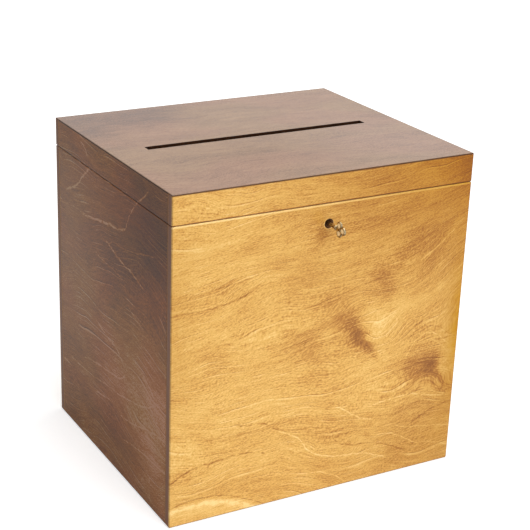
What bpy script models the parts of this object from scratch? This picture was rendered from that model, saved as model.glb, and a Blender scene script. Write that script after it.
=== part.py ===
"""Lockable envelope box: plywood body, slotted hinged lid, box lock and key.

Metres, +Z up. The origin is the middle of the underside and the front faces -Y.
"""

import math

import bmesh
import bpy
from mathutils import Matrix, Vector

# Box, outside sizes and board thicknesses
WIDTH = 0.290
DEPTH = 0.248
HEIGHT = 0.299
LID_HEIGHT = 0.026
WALL = 0.008
LID_TOP_THICKNESS = 0.008
BASE_THICKNESS = 0.006
ARRIS_RADIUS = 0.0009

# Clearances between pieces that touch, and of what turns or slides
JOINT_GAP = 0.0003
RUNNING_GAP = 0.00012
OVERCUT = 0.002

# Envelope slot in the lid
SLOT_LENGTH = 0.220
SLOT_WIDTH = 0.0086

# Keyhole in the front panel
KEYHOLE_RADIUS = 0.0043
KEYHOLE_DROP = 0.0179

# Countersunk screws
SCREW_LENGTH = 0.0068
SCREW_RADIUS = 0.0012
SCREW_HEAD_RADIUS = 0.0023
SCREW_HEAD_RIM = 0.00015
SCREW_POINT_LENGTH = 0.0018
SCREW_SLOT_WIDTH = 0.0006
SCREW_SLOT_DEPTH = 0.0005

# Butt hinges on the back
HINGE_LENGTH = 0.030
HINGE_INSET = 0.055
LEAF_HEIGHT = 0.016
LEAF_THICKNESS = 0.001
KNUCKLE_RADIUS = 0.002
KNUCKLES = 5
PIN_RADIUS = 0.001
HINGE_SCREW_EDGE = 0.006

# Box lock behind the front panel
LOCK_WIDTH = 0.038
LOCK_ABOVE_KEY = 0.0155
LOCK_BELOW_KEY = 0.0085
LOCK_DEPTH = 0.0106
LOCK_WALL = 0.001
BACKPLATE_THICKNESS = 0.0012
FLANGE_WIDTH = 0.0065
FLANGE_THICKNESS = 0.001
LOCK_SCREW_EDGE = 0.0032

# Hub that the key turns, and the nose that throws the bolt
HUB_WALL = 0.0006
NOSE_REACH = 0.007
NOSE_RADIUS = 0.0012
NOSE_WAIST = 0.0016
KEY_TURN = math.radians(90)
HUB_JOURNAL_RADIUS = 0.0022
HUB_END_WALL = 0.0012

# Bolt, its guides and its spring
BOLT_THICKNESS = 0.003
BOLT_HEIGHT = 0.0055
BOLT_TAIL = 0.0145
BOLT_NOTCH_PLAY = 0.00055
BOLT_ROUND = 0.0006
DETENT_DEPTH = 0.0004
DETENT_HALF_WIDTH = 0.0009
GUIDE_LENGTH = 0.0098
GUIDE_THICKNESS = 0.0012
GUIDE_STANDOFF = 0.0022
SPRING_THICKNESS = 0.0004
SPRING_WIDTH = 0.004
SPRING_HALF_LENGTH = 0.0075
SPRING_OFFSET = 0.002

# Strike plate and eye on the lid
STRIKE_WIDTH = 0.030
STRIKE_HEIGHT = 0.013
STRIKE_THICKNESS = 0.0012
STRIKE_LIFT = 0.0005
STRIKE_SCREW_EDGE = 0.005
EAR_THICKNESS = 0.0015
EAR_WALL = 0.0014
EAR_PLAY = 0.0007
EAR_SLOT_PLAY = 0.0012

# Key
KEY_SHAFT_RADIUS = 0.0016
KEY_BIT_REACH = 0.0036
KEY_BIT_THICKNESS = 0.0014
KEY_BIT_LENGTH = 0.0052
KEY_BIT_CUT = 0.0011
KEY_STANDOFF = 0.0105
KEY_COLLAR_RADIUS = 0.0023
KEY_COLLAR_LENGTH = 0.0022
BOW_RING_RADIUS = 0.00275
BOW_WIRE_RADIUS = 0.0009
BOW_SIDE_SPREAD = 0.0034
BOW_END_STEP = 0.0054

# Rounded corners of the metal plates and of the cast case
PLATE_CORNER_RADIUS = 0.0015
CASE_EDGE_RADIUS = 0.0008

# Segments of round shapes
ROUND_SEGMENTS = 24
FINE_SEGMENTS = 16
BOW_SEGMENTS = 10
EASE_SEGMENTS = 3
SPRING_STEPS = 10

# Heights and planes that follow from the sizes above
BODY_HEIGHT = HEIGHT - LID_HEIGHT
BODY_TOP = BODY_HEIGHT - JOINT_GAP
LID_BOTTOM = BODY_HEIGHT
SEAM = (BODY_TOP + LID_BOTTOM) / 2
INNER_X = WIDTH / 2 - WALL
INNER_Y = DEPTH / 2 - WALL
KEY_Z = BODY_HEIGHT - KEYHOLE_DROP
FRONT_FACE = -DEPTH / 2
PANEL_INSIDE = -INNER_Y
BACK_FACE = DEPTH / 2

# Lock layers, from the front panel inwards
BACKPLATE_FRONT = PANEL_INSIDE + JOINT_GAP
BACKPLATE_BACK = BACKPLATE_FRONT + BACKPLATE_THICKNESS
CASE_FRONT = BACKPLATE_BACK + JOINT_GAP
CASE_BACK = CASE_FRONT + LOCK_DEPTH
CASE_FLOOR = CASE_BACK - LOCK_WALL
BOLT_Y = (CASE_FRONT + CASE_FLOOR) / 2
CASE_TOP = KEY_Z + LOCK_ABOVE_KEY
CASE_BOTTOM = KEY_Z - LOCK_BELOW_KEY

# Hub and bolt
HUB_RADIUS = KEY_BIT_REACH + JOINT_GAP + HUB_WALL
HALF_THROW = NOSE_REACH * math.sin(KEY_TURN / 2)
BOLT_THROW = 2 * HALF_THROW
BOLT_BOTTOM = KEY_Z + HUB_RADIUS + JOINT_GAP
BOLT_TOP = BOLT_BOTTOM + BOLT_HEIGHT
NOTCH_TOP = KEY_Z + NOSE_REACH + NOSE_RADIUS + JOINT_GAP
EAR_X = LOCK_WIDTH / 2 - BOLT_THROW
BOLT_TIP = EAR_X - EAR_THICKNESS / 2 - EAR_PLAY
SPRING_X = -SPRING_OFFSET

# Hinge pin line
PIN_Y = BACK_FACE + JOINT_GAP + KNUCKLE_RADIUS
LEAF_FACE = BACK_FACE + JOINT_GAP + LEAF_THICKNESS

# Key, measured along -Y from the front face
KEY_TIP = CASE_FLOOR - JOINT_GAP - HUB_END_WALL - JOINT_GAP
BOW_SIDE_Y = FRONT_FACE - KEY_STANDOFF - KEY_COLLAR_LENGTH - BOW_RING_RADIUS - BOW_WIRE_RADIUS
BOW_END_Y = BOW_SIDE_Y - BOW_END_STEP

# Turns that lay a flat outline in the right plane
OUTLINE_ACROSS = Matrix(((0, 0, 1), (1, 0, 0), (0, 1, 0))).to_4x4()
OUTLINE_FACING = Matrix(((1, 0, 0), (0, 0, -1), (0, 1, 0))).to_4x4()
AXIS_TO_X = Matrix.Rotation(math.pi / 2, 4, "Y")
AXIS_TO_Y = Matrix.Rotation(-math.pi / 2, 4, "X")


def clear_scene():
    for item in list(bpy.data.objects):
        bpy.data.objects.remove(item, do_unlink=True)


def new_collection(name):
    made = bpy.data.collections.new(name)
    bpy.context.scene.collection.children.link(made)
    return made


def new_material(name, colour, roughness, metallic):
    """A plain finish: base colour, roughness and metallic value."""
    made = bpy.data.materials.new(name)
    made.use_nodes = True
    shader = made.node_tree.nodes["Principled BSDF"]
    shader.inputs["Base Color"].default_value = (*colour, 1)
    shader.inputs["Roughness"].default_value = roughness
    shader.inputs["Metallic"].default_value = metallic
    made.diffuse_color = (*colour, 1)
    return made


clear_scene()
PARTS = new_collection("lockable_envelope_box")
CUTTERS = new_collection("cutters")
CUTTERS.hide_render = True

PLYWOOD_FRONT = new_material("plywood_front", (0.60, 0.33, 0.09), 0.35, 0)
PLYWOOD_SIDE = new_material("plywood_side", (0.30, 0.19, 0.11), 0.35, 0)
PLYWOOD_LID = new_material("plywood_lid", (0.45, 0.30, 0.20), 0.35, 0)
PLYWOOD_BASE = new_material("plywood_base", (0.50, 0.34, 0.18), 0.5, 0)
HINGE_BRASS = new_material("hinge_brass", (0.72, 0.50, 0.20), 0.3, 1)
SCREW_BRASS = new_material("screw_brass", (0.66, 0.46, 0.20), 0.35, 1)
LOCK_BRASS = new_material("lock_brass", (0.62, 0.44, 0.20), 0.35, 1)
LOCK_STEEL = new_material("lock_steel", (0.45, 0.44, 0.42), 0.4, 1)
KEY_BRASS = new_material("key_brass", (0.40, 0.28, 0.13), 0.35, 1)


def mesh_object(name, shape, location, turn=None):
    """An object in the parts collection from a bmesh, which is freed."""
    mesh = bpy.data.meshes.new(name)
    shape.to_mesh(mesh)
    shape.free()
    made = bpy.data.objects.new(name, mesh)
    made.matrix_world = Matrix.Translation(location) @ (turn or Matrix())
    PARTS.objects.link(made)
    return made


def box(name, low, high):
    """A box between two corners, with its origin at its centre."""
    low, high = Vector(low), Vector(high)
    shape = bmesh.new()
    bmesh.ops.create_cube(shape, size=1)
    bmesh.ops.scale(shape, vec=high - low, verts=shape.verts)
    return mesh_object(name, shape, (low + high) / 2)


def rod(name, radius, start, end, segments=ROUND_SEGMENTS):
    """A cylinder between two points on a line along X or along Y."""
    start, end = Vector(start), Vector(end)
    shape = bmesh.new()
    length = (end - start).length
    bmesh.ops.create_cone(
        shape, cap_ends=True, segments=segments, radius1=radius, radius2=radius, depth=length
    )
    turn = AXIS_TO_X if abs(end.x - start.x) > length / 2 else AXIS_TO_Y
    return mesh_object(name, shape, (start + end) / 2, turn)


def turned(name, profile, location, segments=FINE_SEGMENTS):
    """A profile of (radius, height) points, top to bottom, turned about a line along +Y."""
    mesh = bpy.data.meshes.new(name)
    points = [(radius, 0, height) for radius, height in profile]
    edges = [(i, i + 1) for i in range(len(points) - 1)]
    mesh.from_pydata(points, edges, [])
    made = bpy.data.objects.new(name, mesh)
    made.matrix_world = Matrix.Translation(location) @ AXIS_TO_Y
    PARTS.objects.link(made)
    spin = made.modifiers.new("turn", "SCREW")
    spin.steps = spin.render_steps = segments
    spin.use_merge_vertices = True
    spin.merge_threshold = 1e-5
    spin.use_smooth_shade = False
    return made


def extruded(name, points, thickness, centre, turn):
    """A flat outline given a thickness, half of it on each side of its plane."""
    curve = bpy.data.curves.new(name, "CURVE")
    curve.dimensions = "2D"
    curve.fill_mode = "BOTH"
    curve.extrude = thickness / 2
    spline = curve.splines.new("POLY")
    spline.points.add(len(points) - 1)
    for point, (across, up) in zip(spline.points, points):
        point.co = (across, up, 0, 1)
    spline.use_cyclic_u = True
    outline = bpy.data.objects.new(name + "_outline", curve)
    outline.matrix_world = Matrix.Translation(centre) @ turn
    PARTS.objects.link(outline)
    bpy.context.view_layer.update()
    evaluated = outline.evaluated_get(bpy.context.evaluated_depsgraph_get())
    mesh = bpy.data.meshes.new_from_object(evaluated)
    shape = bmesh.new()
    shape.from_mesh(mesh)
    bmesh.ops.remove_doubles(shape, verts=shape.verts, dist=1e-6)
    bmesh.ops.dissolve_limit(
        shape, angle_limit=math.radians(0.1), verts=shape.verts, edges=shape.edges
    )
    shape.to_mesh(mesh)
    shape.free()
    made = bpy.data.objects.new(name, mesh)
    made.matrix_world = outline.matrix_world
    bpy.data.objects.remove(outline, do_unlink=True)
    PARTS.objects.link(made)
    return made


def arc(centre, radius, first, last, steps):
    """Points on an arc between two angles in radians, ends included."""
    angles = [first + (last - first) * i / steps for i in range(steps + 1)]
    return [(centre[0] + radius * math.cos(a), centre[1] + radius * math.sin(a)) for a in angles]


def as_cutter(item):
    """Moves an object to the cutters, where it is drawn as wire and not built."""
    PARTS.objects.unlink(item)
    CUTTERS.objects.link(item)
    item.hide_render = True
    item.display_type = "WIRE"
    return item


def boolean(item, other, operation):
    step = item.modifiers.new(operation.lower(), "BOOLEAN")
    step.operation = operation
    step.solver = "EXACT"
    step.object = other


def cut(item, *others):
    for other in others:
        boolean(item, other, "DIFFERENCE")


def join(item, *others):
    for other in others:
        boolean(item, as_cutter(other), "UNION")


def ease(item, radius, chosen):
    """Rounds the edges for which chosen(end, other end) holds, in the object's own axes."""
    shape = bmesh.new()
    shape.from_mesh(item.data)
    weight = shape.edges.layers.float.new("bevel_weight_edge")
    for edge in shape.edges:
        if chosen(edge.verts[0].co, edge.verts[1].co):
            edge[weight] = 1
    shape.to_mesh(item.data)
    shape.free()
    rounding = item.modifiers.new("ease", "BEVEL")
    rounding.width = radius
    rounding.segments = EASE_SEGMENTS
    rounding.limit_method = "WEIGHT"
    return item


def runs_along(letter):
    """A test for the edges that run along one of the object's own axes."""
    axis = "xyz".index(letter)

    def chosen(one, other):
        return abs(one[axis] - other[axis]) > 0.99 * (one - other).length

    return chosen


def dress(item, material, parent=None):
    """Gives the object its material, and its joint's empty as parent."""
    item.data.materials.clear()
    item.data.materials.append(material)
    if parent:
        place = item.matrix_world.copy()
        item.parent = parent
        item.matrix_parent_inverse = parent.matrix_world.inverted()
        item.matrix_world = place
    return item


def joint_empty(name, location):
    made = bpy.data.objects.new(name, None)
    made.empty_display_size = WALL
    made.matrix_world = Matrix.Translation(location)
    PARTS.objects.link(made)
    bpy.context.view_layer.update()
    return made


def rounded_block(name, low, high):
    """The outside of a box with its arrises eased, used to trim the boards."""
    made = as_cutter(box(name, low, high))
    arris = made.modifiers.new("arris", "BEVEL")
    arris.width = ARRIS_RADIUS
    arris.segments = EASE_SEGMENTS
    arris.limit_method = "NONE"
    return made


def board(name, low, high, block):
    """A board trimmed to the eased outside of the box."""
    made = box(name, low, high)
    boolean(made, block, "INTERSECT")
    return made


def screw(name, face, hosts, parent=None):
    """A countersunk screw with its head's flat on face, and its hole in each host."""
    taper = SCREW_HEAD_RADIUS - SCREW_RADIUS
    neck = -SCREW_HEAD_RIM - taper
    profile = [
        (0, 0),
        (SCREW_HEAD_RADIUS, 0),
        (SCREW_HEAD_RADIUS, -SCREW_HEAD_RIM),
        (SCREW_RADIUS, neck),
        (SCREW_RADIUS, SCREW_POINT_LENGTH - SCREW_LENGTH),
        (0, -SCREW_LENGTH),
    ]
    made = turned(name, profile, face)
    gap = JOINT_GAP
    hole = [
        (0, OVERCUT),
        (SCREW_HEAD_RADIUS + gap, OVERCUT),
        (SCREW_HEAD_RADIUS + gap, -SCREW_HEAD_RIM),
        (SCREW_RADIUS + gap, neck),
        (SCREW_RADIUS + gap, -SCREW_LENGTH - gap),
        (0, -SCREW_LENGTH - gap),
    ]
    cutter = as_cutter(turned(name + "_hole", hole, face))
    for host in hosts:
        cut(host, cutter)
    reach = Vector((SCREW_HEAD_RADIUS * 2, SCREW_SLOT_DEPTH, SCREW_SLOT_WIDTH / 2))
    slot = as_cutter(box(name + "_slot", Vector(face) - reach, Vector(face) + reach))
    cut(made, slot)
    return dress(made, SCREW_BRASS, parent)


def build_body():
    """Front and back panels over the side panels, with the base let in between."""
    half_x, half_y = WIDTH / 2, DEPTH / 2
    block = rounded_block("body_block", (-half_x, -half_y, 0), (half_x, half_y, BODY_TOP))
    over_x, over_y = half_x + OVERCUT, half_y + OVERCUT
    bottom, top = -OVERCUT, BODY_TOP + OVERCUT
    front = board("front_panel", (-over_x, -over_y, bottom), (over_x, -INNER_Y, top), block)
    back = board("back_panel", (-over_x, INNER_Y, bottom), (over_x, over_y, top), block)
    side_y = INNER_Y - JOINT_GAP
    left = board("left_panel", (-over_x, -side_y, bottom), (-INNER_X, side_y, top), block)
    right = board("right_panel", (INNER_X, -side_y, bottom), (over_x, side_y, top), block)
    base_x, base_y = INNER_X - JOINT_GAP, INNER_Y - JOINT_GAP
    base = box("base_panel", (-base_x, -base_y, 0), (base_x, base_y, BASE_THICKNESS))
    keyhole = as_cutter(
        rod(
            "keyhole",
            KEYHOLE_RADIUS,
            (0, FRONT_FACE - OVERCUT, KEY_Z),
            (0, PANEL_INSIDE + OVERCUT, KEY_Z),
        )
    )
    cut(front, keyhole)
    dress(front, PLYWOOD_FRONT)
    dress(back, PLYWOOD_FRONT)
    dress(left, PLYWOOD_SIDE)
    dress(right, PLYWOOD_SIDE)
    dress(base, PLYWOOD_BASE)
    return front, back


def mitre_plug(name, gap):
    """The lid top's wedge-edged shape, which widens upwards at 45 degrees, grown by a gap."""
    low = HEIGHT - LID_TOP_THICKNESS - gap
    high = HEIGHT + OVERCUT
    rise = high - low
    # The sloping faces move out by the gap, measured square to them.
    grown = gap * math.sqrt(2) - gap
    narrow_x = WIDTH / 2 - LID_TOP_THICKNESS + grown
    narrow_y = DEPTH / 2 - LID_TOP_THICKNESS + grown
    shape = bmesh.new()
    bmesh.ops.create_cube(shape, size=2)
    for vert in shape.verts:
        spread = rise if vert.co.z > 0 else 0
        vert.co.x *= narrow_x + spread
        vert.co.y *= narrow_y + spread
        vert.co.z *= rise / 2
    return mesh_object(name, shape, (0, 0, (low + high) / 2))


def build_lid(hinge):
    """Four rails with a mitred top panel, and the envelope slot through it."""
    half_x, half_y = WIDTH / 2, DEPTH / 2
    block = rounded_block("lid_block", (-half_x, -half_y, LID_BOTTOM), (half_x, half_y, HEIGHT))
    top = mitre_plug("lid_top_panel", 0)
    boolean(top, block, "INTERSECT")
    slot = as_cutter(
        box(
            "envelope_slot",
            (-SLOT_LENGTH / 2, -SLOT_WIDTH / 2, HEIGHT - LID_TOP_THICKNESS - OVERCUT),
            (SLOT_LENGTH / 2, SLOT_WIDTH / 2, HEIGHT + OVERCUT),
        )
    )
    cut(top, slot)
    dress(top, PLYWOOD_LID, hinge)
    mitre = as_cutter(mitre_plug("lid_mitre", JOINT_GAP))
    over_x, over_y = half_x + OVERCUT, half_y + OVERCUT
    bottom, high = LID_BOTTOM - OVERCUT, HEIGHT + OVERCUT / 2
    side_y = INNER_Y - JOINT_GAP
    spans = {
        "lid_front_rail": ((-over_x, -over_y), (over_x, -INNER_Y), PLYWOOD_FRONT),
        "lid_back_rail": ((-over_x, INNER_Y), (over_x, over_y), PLYWOOD_FRONT),
        "lid_left_rail": ((-over_x, -side_y), (-INNER_X, side_y), PLYWOOD_SIDE),
        "lid_right_rail": ((INNER_X, -side_y), (over_x, side_y), PLYWOOD_SIDE),
    }
    rails = {}
    for name, (low_xy, high_xy, finish) in spans.items():
        rail = board(name, (*low_xy, bottom), (*high_xy, high), block)
        cut(rail, mitre)
        rails[name] = dress(rail, finish, hinge)
    return rails["lid_front_rail"], rails["lid_back_rail"]


def leaf_outline(side):
    """Section of a leaf rolled into its knuckle: side is 1 for a leaf that rises, -1 for one that hangs."""
    radius = KNUCKLE_RADIUS
    outside = radius - LEAF_THICKNESS
    meets = math.asin(outside / radius)
    roll = arc((0, 0), radius, math.pi, 2 * math.pi + math.pi / 2 + meets, ROUND_SEGMENTS)
    points = [(-radius, LEAF_HEIGHT), *roll, (-outside, LEAF_HEIGHT)]
    return [(across, side * up) for across, up in points]


def build_leaf(name, x, side, wood, hinge):
    """One leaf: odd knuckles on the lid's leaf, even ones on the body's."""
    leaf = extruded(name, leaf_outline(side), HINGE_LENGTH, (x, PIN_Y, SEAM), OUTLINE_ACROSS)

    def outer_corner(one, other):
        flat = abs(one.z - other.z) < RUNNING_GAP and abs(one.y - other.y) < RUNNING_GAP
        return flat and side * one.y > LEAF_HEIGHT - RUNNING_GAP

    ease(leaf, PLATE_CORNER_RADIUS, outer_corner)
    pitch = HINGE_LENGTH / KNUCKLES
    clear = KNUCKLE_RADIUS + JOINT_GAP
    own = 1 if side > 0 else 0
    for index in range(KNUCKLES):
        if index % 2 == own:
            continue
        start = x - HINGE_LENGTH / 2 + index * pitch - JOINT_GAP / 2
        end = start + pitch + JOINT_GAP
        notch = box(
            f"{name}_notch_{index}",
            (start - (OVERCUT if index == 0 else 0), PIN_Y - clear, SEAM - clear),
            (end + (OVERCUT if index == KNUCKLES - 1 else 0), PIN_Y + clear, SEAM + clear),
        )
        cut(leaf, as_cutter(notch))
    bore = rod(
        f"{name}_bore",
        PIN_RADIUS + RUNNING_GAP,
        (x - HINGE_LENGTH, PIN_Y, SEAM),
        (x + HINGE_LENGTH, PIN_Y, SEAM),
        FINE_SEGMENTS,
    )
    cut(leaf, as_cutter(bore))
    dress(leaf, HINGE_BRASS, hinge)
    screw_z = SEAM + side * (KNUCKLE_RADIUS + LEAF_HEIGHT) / 2
    reach = HINGE_LENGTH / 2 - HINGE_SCREW_EDGE
    for index, offset in enumerate((-reach, reach), 1):
        face = (x + offset, LEAF_FACE, screw_z)
        screw(f"{name}_screw_{index}", face, (leaf, wood), hinge)


def build_hinges(back_panel, back_rail, hinge):
    for hand, side in (("left", -1), ("right", 1)):
        x = side * (WIDTH / 2 - HINGE_INSET)
        build_leaf(f"{hand}_hinge_body_leaf", x, -1, back_panel, None)
        build_leaf(f"{hand}_hinge_lid_leaf", x, 1, back_rail, hinge)
        pin = rod(
            f"{hand}_hinge_pin",
            PIN_RADIUS,
            (x - HINGE_LENGTH / 2, PIN_Y, SEAM),
            (x + HINGE_LENGTH / 2, PIN_Y, SEAM),
            FINE_SEGMENTS,
        )
        dress(pin, LOCK_STEEL)


def build_lock_housing(front_panel):
    """Backplate and open-backed case with side flanges, fixed by four screws."""
    half = LOCK_WIDTH / 2
    flange = half + FLANGE_WIDTH
    backplate = box(
        "lock_backplate",
        (-flange, BACKPLATE_FRONT, CASE_BOTTOM),
        (flange, BACKPLATE_BACK, CASE_TOP),
    )
    ease(backplate, PLATE_CORNER_RADIUS, runs_along("y"))
    barrel_hole = rod(
        "barrel_hole",
        HUB_RADIUS + JOINT_GAP,
        (0, BACKPLATE_FRONT - OVERCUT, KEY_Z),
        (0, BACKPLATE_BACK + OVERCUT, KEY_Z),
    )
    cut(backplate, as_cutter(barrel_hole))
    case = box("lock_case", (-half, CASE_FRONT, CASE_BOTTOM), (half, CASE_BACK, CASE_TOP))
    ease(case, CASE_EDGE_RADIUS, lambda one, other: one.y > 0 and other.y > 0)
    inside = half - LOCK_WALL
    hollow = box(
        "case_hollow",
        (-inside, CASE_FRONT - OVERCUT, CASE_BOTTOM + LOCK_WALL),
        (inside, CASE_FLOOR, CASE_TOP - LOCK_WALL),
    )
    cut(case, as_cutter(hollow))
    for side in (-1, 1):
        near, far = sorted((side * (half - LOCK_WALL / 2), side * flange))
        ledge = box(
            f"case_flange_{side + 2}",
            (near, CASE_FRONT, CASE_BOTTOM),
            (far, CASE_FRONT + FLANGE_THICKNESS, CASE_TOP),
        )

        def free_corner(one, other, side=side):
            return side * one.x > 0 and side * other.x > 0 and abs(one.y - other.y) > 0

        ease(ledge, PLATE_CORNER_RADIUS, free_corner)
        join(case, ledge)
    add_bolt_guides(case, inside)
    ear_slot = box(
        "ear_slot",
        (EAR_X - EAR_THICKNESS / 2 - EAR_SLOT_PLAY, CASE_FRONT - OVERCUT, CASE_TOP - 2 * LOCK_WALL),
        (EAR_X + EAR_THICKNESS / 2 + EAR_SLOT_PLAY, CASE_FLOOR, CASE_TOP + OVERCUT),
    )
    journal_hole = rod(
        "journal_hole",
        HUB_JOURNAL_RADIUS + JOINT_GAP,
        (0, CASE_FLOOR - OVERCUT, KEY_Z),
        (0, CASE_BACK + OVERCUT, KEY_Z),
        FINE_SEGMENTS,
    )
    cut(case, as_cutter(ear_slot), as_cutter(journal_hole))
    dress(backplate, LOCK_BRASS)
    dress(case, LOCK_BRASS)
    number = 0
    for x in (LOCK_SCREW_EDGE - flange, flange - LOCK_SCREW_EDGE):
        for z in (CASE_BOTTOM + LOCK_SCREW_EDGE, CASE_TOP - LOCK_SCREW_EDGE):
            number += 1
            face = (x, CASE_FRONT + FLANGE_THICKNESS, z)
            screw(f"lock_screw_{number}", face, (case, backplate, front_panel))


def add_bolt_guides(case, inside):
    """A shelf below the bolt and a pad behind it, at each end of the case."""
    wall = LOCK_WALL / 2
    shelf_top = BOLT_BOTTOM - JOINT_GAP
    ear_side = EAR_X + EAR_THICKNESS / 2 + GUIDE_STANDOFF
    spans = ((-inside - wall, -inside + GUIDE_LENGTH), (ear_side, inside + wall))
    for number, (start, end) in enumerate(spans, 1):
        shelf = box(
            f"guide_shelf_{number}",
            (start, BOLT_Y - BOLT_THICKNESS / 2, shelf_top - GUIDE_THICKNESS),
            (end, CASE_FLOOR + wall, shelf_top),
        )
        pad = box(
            f"guide_pad_{number}",
            (start, BOLT_Y + BOLT_THICKNESS / 2 + JOINT_GAP, shelf_top - GUIDE_THICKNESS / 2),
            (end, CASE_FLOOR + wall, BOLT_TOP),
        )
        join(case, shelf, pad)


def build_hub(turn):
    """The barrel that takes the key's bit, with the nose that throws the bolt."""
    front = BACKPLATE_FRONT
    back = CASE_FLOOR - JOINT_GAP
    hub = rod("lock_hub", HUB_RADIUS, (0, front, KEY_Z), (0, back, KEY_Z))
    lean = math.acos(NOSE_WAIST / 2 / NOSE_RADIUS)
    tip = arc((0, NOSE_REACH), NOSE_RADIUS, -lean, math.pi + lean, FINE_SEGMENTS)
    root = HUB_RADIUS / 2
    outline = [(-NOSE_WAIST / 2, root), (NOSE_WAIST / 2, root), *tip]
    swing = OUTLINE_FACING @ Matrix.Rotation(KEY_TURN / 2, 4, "Z")
    nose = extruded("hub_nose", outline, BOLT_THICKNESS, (0, BOLT_Y, KEY_Z), swing)
    journal = rod(
        "hub_journal",
        HUB_JOURNAL_RADIUS,
        (0, back - HUB_END_WALL / 2, KEY_Z),
        (0, CASE_BACK, KEY_Z),
        FINE_SEGMENTS,
    )
    join(hub, nose, journal)
    shaft_bore = rod(
        "hub_bore",
        KEY_SHAFT_RADIUS + JOINT_GAP,
        (0, front - OVERCUT, KEY_Z),
        (0, KEY_TIP + JOINT_GAP, KEY_Z),
        FINE_SEGMENTS,
    )
    half = KEY_BIT_THICKNESS / 2 + JOINT_GAP
    bit_slot = box(
        "hub_bit_slot",
        (-half, front - OVERCUT, KEY_Z - KEY_BIT_REACH - JOINT_GAP),
        (half, KEY_TIP + JOINT_GAP / 2, KEY_Z),
    )
    cut(hub, as_cutter(shaft_bore), as_cutter(bit_slot))
    return dress(hub, LOCK_STEEL, turn)


def bolt_outline():
    """The bolt seen from the front: notch below for the nose, two detents above."""
    left, right = -BOLT_TAIL, BOLT_TIP
    bottom, top = BOLT_BOTTOM - KEY_Z, BOLT_TOP - KEY_Z
    notch = NOTCH_TOP - KEY_Z
    half = NOSE_RADIUS + BOLT_NOTCH_PLAY
    tip_low = (right - BOLT_ROUND, bottom + BOLT_ROUND)
    tip_high = (right - BOLT_ROUND, top - BOLT_ROUND)
    points = [(left, bottom), (-HALF_THROW - half, bottom), (-HALF_THROW - half, notch)]
    points += [(-HALF_THROW + half, notch), (-HALF_THROW + half, bottom)]
    points += arc(tip_low, BOLT_ROUND, -math.pi / 2, 0, 3)
    points += arc(tip_high, BOLT_ROUND, 0, math.pi / 2, 3)
    for centre in (SPRING_X, SPRING_X - BOLT_THROW):
        points += [(centre + DETENT_HALF_WIDTH, top), (centre, top - DETENT_DEPTH)]
        points += [(centre - DETENT_HALF_WIDTH, top)]
    points.append((left, top))
    return points


def build_bolt():
    bolt = extruded(
        "lock_bolt", bolt_outline(), BOLT_THICKNESS, (0, BOLT_Y, KEY_Z), OUTLINE_FACING
    )
    return dress(bolt, LOCK_STEEL)


def build_spring():
    """A bowed strip between the case's top wall and the bolt."""
    ceiling = CASE_TOP - LOCK_WALL - JOINT_GAP - KEY_Z
    lowest = BOLT_TOP - KEY_Z + JOINT_GAP / 2
    bow = ceiling - lowest - SPRING_THICKNESS
    under, over = [], []
    for i in range(SPRING_STEPS + 1):
        along = 2 * i / SPRING_STEPS - 1
        x = SPRING_X + along * SPRING_HALF_LENGTH
        z = lowest + bow * along * along
        under.append((x, z))
        over.append((x, z + SPRING_THICKNESS))
    spring = extruded(
        "lock_spring", under + over[::-1], SPRING_WIDTH, (0, BOLT_Y, KEY_Z), OUTLINE_FACING
    )
    return dress(spring, LOCK_STEEL)


def build_strike(front_rail, hinge):
    """A plate on the lid's front rail, with an ear that drops into the lock."""
    back = PANEL_INSIDE + JOINT_GAP
    face = back + STRIKE_THICKNESS
    low = LID_BOTTOM + STRIKE_LIFT
    high = low + STRIKE_HEIGHT
    half = STRIKE_WIDTH / 2
    plate = box("strike_plate", (EAR_X - half, back, low), (EAR_X + half, face, high))
    ease(plate, PLATE_CORNER_RADIUS, runs_along("y"))
    eye_half = BOLT_THICKNESS / 2 + EAR_PLAY
    near = BOLT_Y - eye_half - EAR_WALL
    far = BOLT_Y + eye_half + EAR_WALL
    eye_low = BOLT_BOTTOM - EAR_PLAY
    eye_high = BOLT_TOP + EAR_PLAY
    tip = eye_low - EAR_WALL
    round_off = (far - near) / 4
    root = (back + face) / 2
    outline = [(root, high - STRIKE_THICKNESS), (root, low + STRIKE_THICKNESS), (near, low)]
    outline += arc((near + round_off, tip + round_off), round_off, math.pi, 1.5 * math.pi, 5)
    outline += arc((far - round_off, tip + round_off), round_off, -math.pi / 2, 0, 5)
    outline += [(far, low + STRIKE_HEIGHT / 3)]
    ear = extruded("strike_ear", outline, EAR_THICKNESS, (EAR_X, 0, 0), OUTLINE_ACROSS)
    join(plate, ear)
    eye = box(
        "strike_eye",
        (EAR_X - EAR_THICKNESS, BOLT_Y - eye_half, eye_low),
        (EAR_X + EAR_THICKNESS, BOLT_Y + eye_half, eye_high),
    )
    cut(plate, as_cutter(eye))
    dress(plate, LOCK_BRASS, hinge)
    reach = half - STRIKE_SCREW_EDGE
    for index, offset in enumerate((-reach, reach), 1):
        place = (EAR_X + offset, face, (low + high) / 2)
        screw(f"strike_screw_{index}", place, (plate, front_rail), hinge)


def bow_ring(name, y, z):
    """One lobe of the key's bow, a ring that stands in the plane of Y and Z."""
    bpy.ops.mesh.primitive_torus_add(
        major_segments=ROUND_SEGMENTS,
        minor_segments=BOW_SEGMENTS,
        major_radius=BOW_RING_RADIUS,
        minor_radius=BOW_WIRE_RADIUS,
        location=(0, y, z),
        rotation=(0, math.pi / 2, 0),
    )
    ring = bpy.context.object
    ring.name = name
    for holder in list(ring.users_collection):
        holder.objects.unlink(ring)
    PARTS.objects.link(ring)
    return ring


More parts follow.
